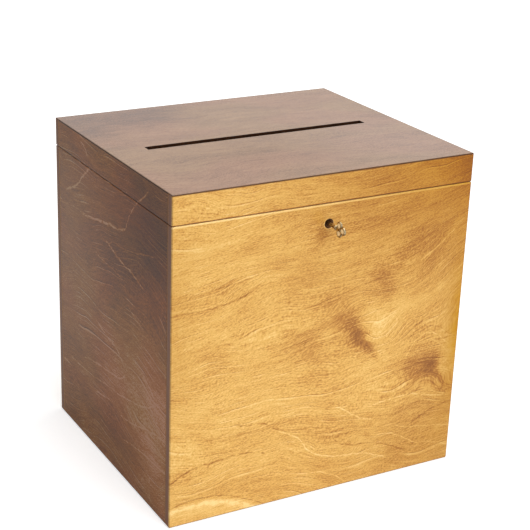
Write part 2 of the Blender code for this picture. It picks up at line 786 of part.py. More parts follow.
def build_key(turn):
    """Round shaft with a small bit at its tip and a bow of three rings."""
    stem_end = BOW_END_Y + BOW_RING_RADIUS
    key = rod("key", KEY_SHAFT_RADIUS, (0, stem_end, KEY_Z), (0, KEY_TIP, KEY_Z), FINE_SEGMENTS)
    collar_front = FRONT_FACE - KEY_STANDOFF - KEY_COLLAR_LENGTH
    collar = rod(
        "key_collar",
        KEY_COLLAR_RADIUS,
        (0, collar_front, KEY_Z),
        (0, collar_front + KEY_COLLAR_LENGTH, KEY_Z),
        FINE_SEGMENTS,
    )
    bit_end = KEY_TIP - KEY_SHAFT_RADIUS / 2
    half = KEY_BIT_THICKNESS / 2
    bit = box(
        "key_bit",
        (-half, bit_end - KEY_BIT_LENGTH, KEY_Z - KEY_BIT_REACH),
        (half, bit_end, KEY_Z),
    )
    upper = bow_ring("bow_upper", BOW_SIDE_Y, KEY_Z + BOW_SIDE_SPREAD)
    lower = bow_ring("bow_lower", BOW_SIDE_Y, KEY_Z - BOW_SIDE_SPREAD)
    end = bow_ring("bow_end", BOW_END_Y, KEY_Z)
    join(key, collar, bit, upper, lower, end)
    middle = bit_end - KEY_BIT_LENGTH / 2
    ward_cut = box(
        "key_ward_cut",
        (-KEY_BIT_THICKNESS, middle - KEY_BIT_CUT / 2, KEY_Z - 2 * KEY_BIT_REACH),
        (KEY_BIT_THICKNESS, middle + KEY_BIT_CUT / 2, KEY_Z - KEY_SHAFT_RADIUS - KEY_BIT_CUT / 2),
    )
    cut(key, as_cutter(ward_cut))
    return dress(key, KEY_BRASS, turn)


def main():
    lid_hinge = joint_empty("lid_hinge", (0, PIN_Y, SEAM))
    key_turn = joint_empty("key_turn", (0, FRONT_FACE, KEY_Z))
    front_panel, back_panel = build_body()
    front_rail, back_rail = build_lid(lid_hinge)
    build_hinges(back_panel, back_rail, lid_hinge)
    build_lock_housing(front_panel)
    build_hub(key_turn)
    build_bolt()
    build_spring()
    build_strike(front_rail, lid_hinge)
    build_key(key_turn)
    for item in PARTS.objects:
        if item.type == "MESH":
            item.data.set_sharp_from_angle(angle=math.radians(35))


main()
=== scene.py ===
"""Looks of the lockable envelope box.

Stained and lacquered birch plywood, brass butt hinges, a box lock and an old cast key, dressed on
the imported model, which is loaded as a fixed frame in metres with +Z up and the front facing -Y.
"""

import logging
import math
from collections.abc import Callable
from dataclasses import dataclass, field, replace
from enum import Enum
from typing import Any, Optional, Union

import bpy
import numpy as np
from mathutils import Matrix, Vector


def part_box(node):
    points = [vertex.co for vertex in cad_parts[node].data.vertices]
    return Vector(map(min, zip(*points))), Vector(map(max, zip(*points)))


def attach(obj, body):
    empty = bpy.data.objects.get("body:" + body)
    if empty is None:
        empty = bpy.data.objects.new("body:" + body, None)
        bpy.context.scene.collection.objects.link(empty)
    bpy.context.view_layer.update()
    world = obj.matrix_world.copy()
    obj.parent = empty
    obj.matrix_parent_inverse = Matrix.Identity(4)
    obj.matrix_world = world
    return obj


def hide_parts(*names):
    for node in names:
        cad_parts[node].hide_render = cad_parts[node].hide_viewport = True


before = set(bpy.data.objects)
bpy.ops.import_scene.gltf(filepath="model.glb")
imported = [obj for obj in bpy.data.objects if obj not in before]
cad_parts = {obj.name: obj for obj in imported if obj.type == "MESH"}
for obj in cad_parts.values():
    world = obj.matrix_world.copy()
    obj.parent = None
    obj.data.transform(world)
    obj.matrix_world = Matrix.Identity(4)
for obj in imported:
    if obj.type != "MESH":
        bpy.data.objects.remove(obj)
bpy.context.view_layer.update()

LOG = logging.getLogger("envelope_box")

# Millimetres in a metre.
MM = 1000.0

# Growth lines are drawn on a square sheet, whose side is given here in millimetres, and which
# begins this far outside the face's left end and lower edge.
SHEET = 340.0
MARGIN = 20.0

# The two hues that a stain drifts between, as factors on its colour.
OLIVE_TINT = (0.93, 1.0, 0.88)
ROSE_TINT = (1.0, 0.92, 1.0)

# How much the growth lines wander where no bloom makes them wander more.
EVEN_SWAY = 0.2

# The growth height from one thin growth line to the next, in millimetres.
LINE_GAP = 6.5

# The heights, in millimetres, of the painted highlight on the body's top arris below the lid's
# seam, and of the painted shade in the seam on the lid's lower edge.
SEAM_HIGHLIGHT_HEIGHT = 272.0
SEAM_SHADE_HEIGHT = 273.4

# The size of a cast metal's grain, and the width and length of fine scratches, in millimetres.
CAST_GRAIN = 0.25
SCRATCH_WIDTH = 0.12
SCRATCH_LENGTH = 4.0

Number = Union["Value", float]
Colour = tuple[float, float, float]
Point = tuple[float, float, float]
Pair = tuple[float, float]
Stops = tuple[tuple[float, Colour], ...]
Socket = bpy.types.NodeSocket
Form = tuple[np.ndarray, list[tuple[int, ...]]]


class Value:
    """A number on a socket of a node tree; arithmetic on it adds Math nodes."""

    def __init__(self, nodes: "Nodes", socket: Socket) -> None:
        """Keeps the builder and the output socket that carries the number."""
        self.nodes = nodes
        self.socket = socket

    def __add__(self, other: Number) -> "Value":
        """The sum."""
        return self.nodes.math("ADD", self, other)

    __radd__ = __add__

    def __sub__(self, other: Number) -> "Value":
        """The difference."""
        return self.nodes.math("SUBTRACT", self, other)

    def __rsub__(self, other: Number) -> "Value":
        """The difference from a plain number."""
        return self.nodes.math("SUBTRACT", other, self)

    def __mul__(self, other: Number) -> "Value":
        """The product."""
        return self.nodes.math("MULTIPLY", self, other)

    __rmul__ = __mul__

    def __truediv__(self, other: Number) -> "Value":
        """The quotient."""
        return self.nodes.math("DIVIDE", self, other)

    def __rpow__(self, base: float) -> "Value":
        """A plain number raised to this power."""
        return self.nodes.math("POWER", base, self)

    def __abs__(self) -> "Value":
        """The size without its sign."""
        return self.nodes.math("ABSOLUTE", self)

    def least(self, other: Number) -> "Value":
        """The smaller of the two."""
        return self.nodes.math("MINIMUM", self, other)

    def most(self, other: Number) -> "Value":
        """The larger of the two."""
        return self.nodes.math("MAXIMUM", self, other)

    def ease(self, low: float, high: float) -> "Value":
        """Rises smoothly from 0 at low to 1 at high, or falls where low is the larger.

        Args:
            low: Where the result is 0.
            high: Where the result is 1.

        Returns:
            The eased value, by t squared times 3 less 2t, with t from 0 to 1.
        """
        if low > high:
            return 1 - self.ease(high, low)
        settings = {"interpolation_type": "SMOOTHSTEP"}
        inputs = {"Value": self, "From Min": low, "From Max": high}
        node = self.nodes.add("ShaderNodeMapRange", settings, inputs)
        return Value(self.nodes, node.outputs["Result"])


class Nodes:
    """A node tree under construction."""

    def __init__(self, tree: bpy.types.NodeTree) -> None:
        """Takes a tree and clears it."""
        self.tree = tree
        self.tree.nodes.clear()

    def add(
        self,
        kind: str,
        settings: Optional[dict[str, Any]] = None,
        inputs: Optional[dict[Union[str, int], Any]] = None,
    ) -> bpy.types.Node:
        """Adds a node.

        Args:
            kind: The node's type.
            settings: Its properties, set first; stops are a ramp's (place, colour) pairs, and
                course a curve's points.
            inputs: Values, Value objects or sockets for its inputs, by name or number.

        Returns:
            The node.
        """
        node = self.tree.nodes.new(kind)
        for name, value in (settings or {}).items():
            if name == "stops":
                self._set_stops(node.color_ramp, value)
            elif name == "course":
                self._set_course(node.mapping, value)
            else:
                setattr(node, name, value)
        for name, value in (inputs or {}).items():
            socket = node.inputs[name]
            source = value.socket if isinstance(value, Value) else value
            if isinstance(source, Socket):
                self.tree.links.new(source, socket)
            elif socket.type == "RGBA":
                socket.default_value = (*source, 1.0)
            else:
                socket.default_value = source
        return node

    @staticmethod
    def _set_stops(ramp: bpy.types.ColorRamp, stops: Stops) -> None:
        """Gives a colour ramp its stops, from the lowest place up.

        Args:
            ramp: The ramp, as its node is made.
            stops: The places and colours, lowest place first.
        """
        while len(ramp.elements) > 1:
            ramp.elements.remove(ramp.elements[-1])
        for index, (place, colour) in enumerate(stops):
            stop = ramp.elements[0] if index == 0 else ramp.elements.new(place)
            stop.position = place
            stop.color = (*colour, 1.0)

    @staticmethod
    def _set_course(mapping: bpy.types.CurveMapping, course: tuple[Pair, ...]) -> None:
        """Gives a curve its points, from left to right, in place of its two plain ends.

        Args:
            mapping: The node's curve, as it is made.
            course: The points, from left to right.
        """
        points = mapping.curves[0].points
        for _ in course[2:]:
            points.new(0.5, 0.5)
        for point, place in zip(points, course):
            point.location = place
        mapping.update()

    def math(self, operation: str, *numbers: Number) -> Value:
        """A Math node over Values and plain numbers."""
        node = self.add("ShaderNodeMath", {"operation": operation}, dict(enumerate(numbers)))
        return Value(self, node.outputs[0])

    def object_axes(self) -> tuple[Value, Value, Value]:
        """The object's own X, Y and Z, in millimetres."""
        place = self.add("ShaderNodeTexCoord").outputs["Object"]
        scaled = self.add("ShaderNodeVectorMath", {"operation": "SCALE"}, {0: place, "Scale": MM})
        return self.split(scaled.outputs[0])

    def rays(self, *kinds: str) -> tuple[Value, ...]:
        """For each kind of ray, 1 where the ray is of that kind and 0 elsewhere."""
        path = self.add("ShaderNodeLightPath")
        return tuple(Value(self, path.outputs[f"Is {kind} Ray"]) for kind in kinds)

    def point(self, x: Number, y: Number, z: Number = 0.0) -> Socket:
        """A vector from three numbers."""
        return self.add("ShaderNodeCombineXYZ", {}, {0: x, 1: y, 2: z}).outputs[0]

    def split(self, vector: Socket) -> tuple[Value, Value, Value]:
        """A vector's three numbers."""
        node = self.add("ShaderNodeSeparateXYZ", {}, {0: vector})
        x, y, z = (Value(self, node.outputs[i]) for i in range(3))
        return x, y, z

    def vector(self, operation: str, *inputs: Any) -> Socket:
        """A Vector Math node's vector output."""
        node = self.add("ShaderNodeVectorMath", {"operation": operation}, dict(enumerate(inputs)))
        return node.outputs[0]

    def noise(self, place: Socket, detail: float = 2.0, rough: float = 0.5) -> Value:
        """Smooth noise about 0.5 at a point that is already scaled.

        Args:
            place: The scaled point.
            detail: How many finer noises are added.
            rough: How strong those are, 0 to 1.

        Returns:
            The noise.
        """
        inputs = {"Vector": place, "Scale": 1.0, "Detail": detail, "Roughness": rough}
        return Value(self, self.add("ShaderNodeTexNoise", {}, inputs).outputs[0])

    def wobble(self, place: Socket, reach: Pair, detail: float) -> Socket:
        """A displacement of up to about half of reach each way, from colour noise.

        Args:
            place: The scaled point at which the noise is read.
            reach: How far it moves along and up, from one extreme to the other.
            detail: How many finer noises are added.

        Returns:
            The displacement, a vector.
        """
        inputs = {"Vector": place, "Scale": 1.0, "Detail": detail}
        node = self.add("ShaderNodeTexNoise", {}, inputs)
        centred = self.vector("SUBTRACT", node.outputs["Color"], (0.5, 0.5, 0.5))
        return self.vector("MULTIPLY", centred, (*reach, 0.0))

    def line_noise(self, along: Value, detail: float) -> Value:
        """Noise that changes along one number only.

        Args:
            along: That number, already scaled.
            detail: How many finer noises are added.

        Returns:
            The noise, about 0.5.
        """
        inputs = {"W": along, "Scale": 1.0, "Detail": detail}
        node = self.add("ShaderNodeTexNoise", {"noise_dimensions": "1D"}, inputs)
        return Value(self, node.outputs[0])

    def ramp(self, amount: Value, stops: Stops) -> Socket:
        """A colour read from stops at an amount."""
        node = self.add("ShaderNodeValToRGB", {"stops": stops}, {"Fac": amount})
        return node.outputs["Color"]

    def curve(self, amount: Value, course: tuple[Pair, ...]) -> Value:
        """A number read from a smooth curve through points of 0 to 1."""
        node = self.add("ShaderNodeFloatCurve", {"course": course}, {"Value": amount})
        return Value(self, node.outputs[0])

    def mix(self, factor: Number, one: Any, other: Any, blend: str = "MIX") -> Socket:
        """One colour mixed towards another.

        Args:
            factor: How far, 0 to 1.
            one: The first colour, as numbers or a socket.
            other: The second.
            blend: The way they mix.

        Returns:
            The mixed colour.
        """
        settings = {"data_type": "RGBA", "blend_type": blend}
        node = self.add("ShaderNodeMix", settings, {0: factor, 6: one, 7: other})
        return node.outputs[2]

    def bump(self, height: Value, distance: float, strength: float) -> Socket:
        """A normal tilted by a height field, whose full rise is distance in metres.

        Args:
            height: The height field, in shares of the full rise.
            distance: The full rise.
            strength: How much of the tilt is used, 0 to 1.

        Returns:
            The normal.
        """
        inputs = {"Height": height, "Distance": distance, "Strength": strength}
        return self.add("ShaderNodeBump", {}, inputs).outputs["Normal"]


def srgb(red: float, green: float, blue: float) -> Colour:
    """A linear colour from display values of 0 to 255.

    Args:
        red: The red value.
        green: The green value.
        blue: The blue value.

    Returns:
        The three linear values, 0 to 1.
    """
    channels = np.array([red, green, blue]) / 255
    linear = np.where(channels <= 0.04045, channels / 12.92, ((channels + 0.055) / 1.055) ** 2.4)
    return tuple(float(c) for c in linear)


def finish_material(
    name: str, build: Callable[[Nodes], dict[str, Any]], plain: dict[str, Any]
) -> bpy.types.Material:
    """A material whose Principled shader takes fixed numbers and what a function builds.

    Args:
        name: The material's name.
        build: Takes the Nodes and returns the shader's varying inputs, by name.
        plain: The shader's inputs that are the same all over.

    Returns:
        The material.
    """
    made = bpy.data.materials.new(name)
    made.use_nodes = True
    nodes = Nodes(made.node_tree)
    varying = build(nodes)
    shader = nodes.add("ShaderNodeBsdfPrincipled", {}, {**plain, **varying})
    nodes.add("ShaderNodeOutputMaterial", {}, {"Surface": shader.outputs[0]})
    return made


class Face(Enum):
    """The side of the box that a board's show face is on.

    Each value gives three (axis, sign) pairs: along the face to the right as seen from outside,
    up the face, and from the show face into the board.
    """

    FRONT = ((0, 1), (2, 1), (1, 1))
    BACK = ((0, -1), (2, 1), (1, -1))
    LEFT = ((1, -1), (2, 1), (0, 1))
    RIGHT = ((1, 1), (2, 1), (0, -1))
    TOP = ((0, 1), (1, 1), (2, -1))
    BASE = ((0, 1), (1, -1), (2, 1))


@dataclass(frozen=True)
class Layer:
    """One layer of noise over a veneer.

    Attributes:
        length: How long its forms are, along the face or the growth lines, in millimetres.
        width: How wide they are, in millimetres.
        offset: Added to the board's seed, which sets the layers apart.
        detail: How many finer noises it holds besides.
        rough: How strong those are, 0 to 1.
        push: Where it moves other layers, how far it does so along and up, in millimetres.
    """

    length: float
    width: float
    offset: float = 0.0
    detail: float = 1.0
    rough: float = 0.5
    push: Pair = (0.0, 0.0)

    def read(self, nodes: Nodes, along: Value, up: Value, seed: float) -> Value:
        """Its value at a place, about 0.5."""
        return nodes.noise(self._place(nodes, along, up, seed), self.detail, self.rough)

    def shift(self, nodes: Nodes, along: Value, up: Value, seed: float) -> Socket:
        """How far it moves other layers at a place."""
        return nodes.wobble(self._place(nodes, along, up, seed), self.push, self.detail)

    def _place(self, nodes: Nodes, along: Value, up: Value, seed: float) -> Socket:
        """The place in its own lengths and widths, on its own level of the noise."""
        return nodes.point(along / self.length, up / self.width, seed + self.offset)


TREMOR = Layer(13.0, 7.0, 7.0, push=(1.6, 0.9))
RAGGED_RIM = Layer(16.0, 10.0, 8.0, detail=2.0, push=(11.0, 9.0))
BROAD_SWAY = Layer(130.0, 85.0, push=(40.0, 52.0))
WILD_SWAY = Layer(50.0, 34.0, 4.0, push=(24.0, 44.0))
SHAKY_VEIN = Layer(7.0, 6.0, 10.0, detail=2.0, push=(3.0, 3.2))
LINE_PATCHES = Layer(44.0, 26.0, 11.0, detail=2.0)
FIBRE = Layer(15.0, 0.75, detail=3.0, rough=0.66)
HAIR = Layer(20.0, 0.4, 3.0)
SPECKLE = Layer(2.0, 1.1, 6.0, detail=2.0, rough=0.6)
CROSS_FIBRE = Layer(9.0, 1.3, detail=2.0)
PORES = Layer(2.6, 0.5, 5.0)
MOTTLE = Layer(9.0, 3.0, 9.0, detail=2.0, rough=0.6)
CLOUD = Layer(55.0, 22.0, 2.0, detail=2.0, rough=0.6)
HUE = Layer(95.0, 70.0, 12.0)


@dataclass(frozen=True)
class Bloom:
    """A soft oval in the veneer, such as a knot, a stain, a swell of the growth lines, or a patch
    of painted shade.

    Attributes:
        centre: Its place in millimetres from the face's left end and lower edge.
        reach: Its half lengths, along and across, at which it has faded to about a third.
        turn: Its turn in degrees, anticlockwise.
        lift: How far the growth lines rise over it, in millimetres.
        shade: How much lighter it is, or darker where negative, on the stain's scale of 0 to 1.
        warm: How much deeper and redder the stain is there, 0 to 1.
        wild: How much the growth lines wander there, beyond their even sway.
        gloss: How much more lacquer lies there, or less where negative, on a scale of 0 to 1.
    """

    centre: Pair
    reach: Pair
    turn: float = 0.0
    lift: float = 0.0
    shade: float = 0.0
    warm: float = 0.0
    wild: float = 0.0
    gloss: float = 0.0

    def strength(self, nodes: Nodes, place: Socket) -> Value:
        """e to the power of minus the squared distance from the centre, counted in reaches.

        Args:
            nodes: The material's nodes.
            place: Millimetres along the face and up it.

        Returns:
            How strong it is there, 0 to 1.
        """
        inputs = {
            "Vector": place,
            "Location": (*self.centre, 0.0),
            "Rotation": (0.0, 0.0, math.radians(self.turn)),
            "Scale": (*self.reach, 1.0),
        }
        local = nodes.add("ShaderNodeMapping", {"vector_type": "TEXTURE"}, inputs).outputs[0]
        dot = nodes.add("ShaderNodeVectorMath", {"operation": "DOT_PRODUCT"}, {0: local, 1: local})
        return math.e ** (-1 * Value(nodes, dot.outputs["Value"]))


@dataclass(frozen=True)
class Vein:
    """One growth line that runs across the face.

    Attributes:
        points: Its course from left to right, in millimetres from the face's left end and
            lower edge.
        shade: How much lighter it is, or darker where negative, on the stain's scale of 0 to 1.
        width: Half its width in millimetres.
        fade: The length over which each end fades, in millimetres.
        dash: The size of the stretches where it is weaker, in millimetres.
    """

    points: tuple[Pair, ...]
    shade: float
    width: float = 1.0
    fade: float = 9.0
    dash: float = 5.0

    def strength(self, nodes: Nodes, along: Value, up: Value) -> Value:
        """1 on the line, less to its sides and its ends, and uneven along it.

        Args:
            nodes: The material's nodes.
            along: Millimetres along the face.
            up: Millimetres up the face.

        Returns:
            How strong it is there, 0 to 1.
        """
        course = tuple(((x + MARGIN) / SHEET, (y + MARGIN) / SHEET) for x, y in self.points)
        height = nodes.curve((along + MARGIN) / SHEET, course) * SHEET - MARGIN
        start, end = self.points[0][0], self.points[-1][0]
        line = abs(up - height).ease(self.width, 0.0)
        place = nodes.point(along / self.dash, up / self.dash, self.width)
        uneven = nodes.noise(place).ease(0.2, 0.65)
        ends = along.ease(start, start + self.fade) * along.ease(end, end - self.fade)
        return line * uneven * ends


@dataclass(frozen=True)
class Stain:
    """The colours of a stained veneer.

    Attributes:
        dark: Its darkest growth.
        brown: Its darker growth.
        middle: Its middle tone.
        gold: Its paler growth.
        pale: Its palest growth.
        warmth: A factor on its colour where the stain is deeper and redder.
        edge: The colour to which the arrises are darkened.
    """

    dark: Colour
    brown: Colour
    middle: Colour
    gold: Colour
    pale: Colour
    warmth: Colour
    edge: Colour

    def stops(self) -> Stops:
        """The stain's ramp of colours."""
        return (
            (0.0, self.dark),
            (0.28, self.brown),
            (0.5, self.middle),
            (0.72, self.gold),
            (1.0, self.pale),
        )


HONEY = Stain(
    dark=srgb(146, 92, 42),
    brown=srgb(190, 132, 62),
    middle=srgb(223, 173, 90),
    gold=srgb(237, 193, 112),
    pale=srgb(252, 217, 148),
    warmth=(0.55, 0.36, 0.0),
    edge=srgb(84, 46, 20),
)

# Painted shade: the honey stain made darker and browner for the sides and the base, as they look in
# shade. It also colours the plies of the cut edges.
SHADED_SIDE_STAIN = Stain(
    dark=srgb(66, 33, 8),
    brown=srgb(104, 57, 13),
    middle=srgb(128, 73, 17),
    gold=srgb(150, 92, 28),
    pale=srgb(174, 130, 96),
    warmth=(0.6, 0.42, 0.2),
    edge=srgb(48, 24, 8),
)

# Painted shade and sheen: the honey stain made darker and greyer for the lid's top, as it looks
# under less light with a pale sheen.
SHADED_LID_STAIN = Stain(
    dark=srgb(70, 42, 22),
    brown=srgb(112, 74, 42),
    middle=srgb(137, 98, 64),
    gold=srgb(151, 112, 78),
    pale=srgb(178, 139, 102),
    warmth=(0.6, 0.42, 0.2),
    edge=srgb(54, 29, 11),
)

# Near-black cut edges for the lid: end grain that takes the stain deeply, and painted shade on the
# walls of the lid's slot.
SHADED_END_GRAIN_STAIN = Stain(
    dark=srgb(28, 16, 10),
    brown=srgb(40, 22, 12),
    middle=srgb(54, 30, 16),
    gold=srgb(64, 36, 18),
    pale=srgb(80, 46, 22),
    warmth=(1.0, 1.0, 1.0),
    edge=srgb(40, 22, 12),
)


@dataclass(frozen=True)
class Plywood:
    """Stained rotary-cut birch plywood under satin lacquer.

    Attributes:
        name: The material's name.
        face: Which side of the box the show face is on.
        stain: Its colours.
        seed: Sets this board's figure apart from the others.
        blooms: Knots, stains, swells, and patches of painted light and shade.
        veins: Growth lines that stand out.
        cut_stain: The colours of its cut edges.
        thickness: The board's thickness in millimetres.
        ply: The thickness of one ply in millimetres.
        outline: The whole side's low and high corners, along and up, in millimetres.
        surface: The show face's coordinate on its own axis, in millimetres.
        contrast: How strongly the fine grain shows.
        lines: How strongly the thin growth lines show.
        opening: A hole's centre, the half sizes of a rectangle and a radius round it, or None.
        rubbed: How pale the hole's rim is: stain thinned by wear, and a painted highlight.
        seam: The strength of the painted highlight on the body's top arris, below the lid's seam.
        coat: The lacquer's weight.
        drift: How far the stain's hue drifts between olive and rose over the board, 0 to 1.
        roughness: The veneer's roughness where its fine grain is high.
        relief: The height of the open grain in metres.
    """

    name: str
    face: Face
    stain: Stain
    seed: float
    outline: tuple[Pair, Pair]
    surface: float
    blooms: tuple[Bloom, ...] = ()
    veins: tuple[Vein, ...] = ()
    cut_stain: Stain = SHADED_SIDE_STAIN
    thickness: float = 8.0
    ply: float = 1.6
    contrast: float = 1.0
    lines: float = 0.12
    opening: Optional[tuple[Pair, Pair, float]] = None
    rubbed: float = 0.0
    seam: float = 0.1
    coat: float = 0.45
    drift: float = 0.0
    roughness: float = 0.42
    relief: float = 0.00008

    def material(self) -> bpy.types.Material:
        """The board's material."""
        plain = {"IOR": 1.45, "Coat Roughness": 0.2, "Coat IOR": 1.4, "Specular IOR Level": 0.15}
        return finish_material(self.name, self._build, plain)

    def _build(self, nodes: Nodes) -> dict[str, Any]:
        """The varying inputs: stained veneer, plies on the edges, lacquer and open grain.

        Args:
            nodes: The material's nodes.

        Returns:
            The shader's inputs, by name.
        """
        along, up, depth = self._face_axes(nodes)
        tone, warm, gloss, fine, growth = self._veneer(nodes, along, up)
        # Plies show on the cut edges, from under the face veneer to just short of the inner face.
        inner = (self.thickness - depth).ease(0.05, 0.2)
        plies = nodes.ramp(self._ply_tone(nodes, depth, along, up), self.cut_stain.stops())
        colour = nodes.ramp(tone, self.stain.stops())
        colour = nodes.mix(warm, colour, self.stain.warmth, "MULTIPLY")
        if self.drift:
            hue = HUE.read(nodes, along, up, self.seed).ease(0.38, 0.62)
            tint = nodes.mix(hue, OLIVE_TINT, ROSE_TINT)
            colour = nodes.mix(self.drift, colour, tint, "MULTIPLY")
        colour = nodes.mix(depth.ease(0.9, 1.4).least(inner), colour, plies)
        # The opening's walls take the cut edges' colours; in the lid's slot these are near-black,
        # which paints the shade in the slot.
        if self.opening:
            wall = self._from_opening(nodes, along, up).ease(0.25, 0.05)
            colour = nodes.mix(wall, colour, nodes.ramp(tone, self.cut_stain.stops()))
        colour = nodes.mix(self._arris(along, up, depth), colour, self.stain.edge)
        # Inside the box, the walls and the lid have half the lacquer.
        inside = depth.ease(6.5, 7.5)
        return {
            "Base Color": colour,
            "Roughness": self.roughness + 0.2 * (1 - fine),
            "Coat Weight": (self.coat + gloss) * (1 - 0.5 * inside),
            "Normal": nodes.bump(fine + 0.5 * growth, self.relief, 0.5),
        }

    def _face_axes(self, nodes: Nodes) -> tuple[Value, Value, Value]:
        """Millimetres along the face, up it and into the board.

        Args:
            nodes: The material's nodes.

        Returns:
            The three distances, along and up from the whole side's low corner.
        """
        axes = nodes.object_axes()
        (along_axis, along_sign), (up_axis, up_sign), (depth_axis, depth_sign) = self.face.value
        (along_low, up_low), _ = self.outline
        along = axes[along_axis] * along_sign - along_low
        up = axes[up_axis] * up_sign - up_low
        depth = (axes[depth_axis] - self.surface) * depth_sign
        return along, up, depth

    def _veneer(
        self, nodes: Nodes, along: Value, up: Value
    ) -> tuple[Value, Number, Number, Value, Value]:
        """The face veneer's figure.

        The growth height is the height up the face, moved by three sizes of noise and lowered by
        each bloom's lift. Its level lines are the wood's growth lines, and the fibres, pores and
        rings all follow them, because each is noise read at the place along and that height. The
        veins, the opening's pale rim (wear with a painted highlight, strongest on its lower left)
        and the lines at the lid's seam (a painted highlight on the body's top arris and painted
        shade in the seam) come on top, and fine noise moves the place at which the veins are read,
        so that they are shaky.

        Args:
            nodes: The material's nodes.
            along: Millimetres along the face.
            up: Millimetres up the face.

        Returns:
            The tone on the stain's scale, the warmth, the added lacquer, the fine grain, and
            the growth bands.
        """
        seed = self.seed
        place = nodes.point(along, up)
        near = nodes.vector("ADD", place, TREMOR.shift(nodes, along, up, seed))
        ragged = nodes.vector("ADD", place, RAGGED_RIM.shift(nodes, along, up, seed))
        sums = self._bloom_sums(nodes, near, ragged)
        broad = BROAD_SWAY.shift(nodes, along, up, seed)
        wild = nodes.point(sums["wild"], sums["wild"])
        sway = nodes.vector("MULTIPLY", WILD_SWAY.shift(nodes, along, up, seed), wild)
        moved = nodes.vector("ADD", nodes.vector("ADD", near, broad), sway)
        reach, height, _ = nodes.split(moved)
        height = height - sums["lift"]
        fibre, hair, speckle, pores, mottle, cloud = (
            layer.read(nodes, reach, height, seed)
            for layer in (FIBRE, HAIR, SPECKLE, PORES, MOTTLE, CLOUD)
        )
        cross = CROSS_FIBRE.read(nodes, reach + height, height - reach / 2, seed)
        bands = nodes.line_noise(height / 6 + seed, 3.0)
        flecks = pores.ease(0.58, 0.74)
        fine = fibre + 0.5 * hair - 0.6 * flecks
        tone = 0.5 + 0.48 * (cloud - 0.5) + self.contrast * (
            0.42 * (fibre - 0.5) + 0.8 * (hair - 0.5) + 0.45 * (cross - 0.5)
            + 0.85 * (speckle - 0.5) + 0.16 * (mottle - 0.5) + 0.2 * (bands - 0.5) - 0.18 * flecks
        ) + self.lines * self._thin_lines(nodes, along, up, height)
        shaky = nodes.vector("ADD", near, SHAKY_VEIN.shift(nodes, along, up, seed))
        vein_along, vein_up, _ = nodes.split(shaky)
        for vein in self.veins:
            tone = tone + vein.shade * vein.strength(nodes, vein_along, vein_up)
        # The hole's pale rim is wear and a painted highlight; its middle sits a quarter millimetre
        # down and to the left, so it is brightest on that side.
        if self.rubbed:
            rim_wear_and_highlight = self._from_opening(nodes, along + 0.25, up + 0.25).ease(0.9, 0.3)
            tone = tone + self.rubbed * rim_wear_and_highlight
        # Painted highlight on the body's top arris below the lid's seam, and painted shade in the
        # seam on the lid's lower edge.
        pale = abs(up - SEAM_HIGHLIGHT_HEIGHT).ease(1.1, 0.5)
        dark = abs(up - SEAM_SHADE_HEIGHT).ease(0.8, 0.4)
        tone = tone + sums["shade"] + self.seam * pale - 0.45 * dark
        return tone, sums["warm"], sums["gloss"], fine, bands

    def _bloom_sums(self, nodes: Nodes, near: Socket, ragged: Socket) -> dict[str, Number]:
        """What all the blooms together do at a place.

        Args:
            nodes: The material's nodes.
            near: The place, trembling a little, for blooms that lift the growth lines.
            ragged: The place, moved further, which gives the other blooms ragged rims.

        Returns:
            The sums of their lifts, shades, warmths, wildnesses and glosses, by name.
        """
        sums: dict[str, Number] = {
            "lift": 0.0, "shade": 0.0, "warm": 0.0, "wild": EVEN_SWAY, "gloss": 0.0
        }
        for bloom in self.blooms:
            strength = bloom.strength(nodes, near if bloom.lift else ragged)
            for name in sums:
                if getattr(bloom, name):
                    sums[name] = sums[name] + getattr(bloom, name) * strength
        return sums

    def _thin_lines(self, nodes: Nodes, along: Value, up: Value, height: Value) -> Value:
        """Thin growth lines, pale with a dark side, unevenly spaced and only in patches.

        Args:
            nodes: The material's nodes.
            along: Millimetres along the face.
            up: Millimetres up the face.
            height: The growth height in millimetres.

        Returns:
            1 on a pale line, -1 on its dark side, 0 between the lines.
        """
        uneven = nodes.line_noise(height / 17 + self.seed, 1.0)
        line = nodes.math("FRACT", height / LINE_GAP + 2.4 * uneven)
        shows = LINE_PATCHES.read(nodes, along, up, self.seed).ease(0.42, 0.6)
        return (line.ease(0.8, 0.97) - line.ease(0.1, 0.0)) * shows

    def _ply_tone(self, nodes: Nodes, depth: Value, along: Value, up: Value) -> Value:
        """The tone of a cut edge: darker end grain in every second ply, with fine specks.

        Args:
            nodes: The material's nodes.
            depth: Millimetres into the board.
            along: Millimetres along the face.
            up: Millimetres up the face.

        Returns:
            The tone on the stain's scale.
        """
        layer = nodes.math("PINGPONG", depth / self.ply, 1.0)
        end_grain = layer.ease(0.35, 0.65)
        speck = nodes.noise(nodes.point(along / 0.7, up / 0.7, depth / 0.35), 1.0)
        return 0.4 - 0.16 * end_grain + 0.3 * (speck - 0.5)

    def _arris(self, along: Value, up: Value, depth: Value) -> Value:
        """Near 1 on the top arris and less on the other three: how far each arris is darkened.

        Args:
            along: Millimetres along the face.
            up: Millimetres up the face.
            depth: Millimetres into the board.

        Returns:
            How strongly the arris is darkened, 0 to 1.
        """
        (along_low, up_low), (along_high, up_high) = self.outline
        from_side = along.least((along_high - along_low) - along)
        sides = 0.35 * from_side.most(depth).ease(1.2, 0.4)
        top = 0.95 * ((up_high - up_low) - up).most(depth).ease(1.7, 0.7)
        foot = 0.6 * up.most(depth).ease(1.2, 0.4)
        return sides.most(top).most(foot)

    def _from_opening(self, nodes: Nodes, along: Value, up: Value) -> Value:
        """Millimetres outside the opening, which is a rectangle grown by its radius.

        Args:
            nodes: The material's nodes.
            along: Millimetres along the face.
            up: Millimetres up the face.

        Returns:
            The distance, negative within the opening's radius.
        """
        (centre_along, centre_up), (half_along, half_up), radius = self.opening
        beyond_along = (abs(along - centre_along) - half_along).most(0.0)
        beyond_up = (abs(up - centre_up) - half_up).most(0.0)
        reach = nodes.math("SQRT", beyond_along * beyond_along + beyond_up * beyond_up)
        return reach - radius


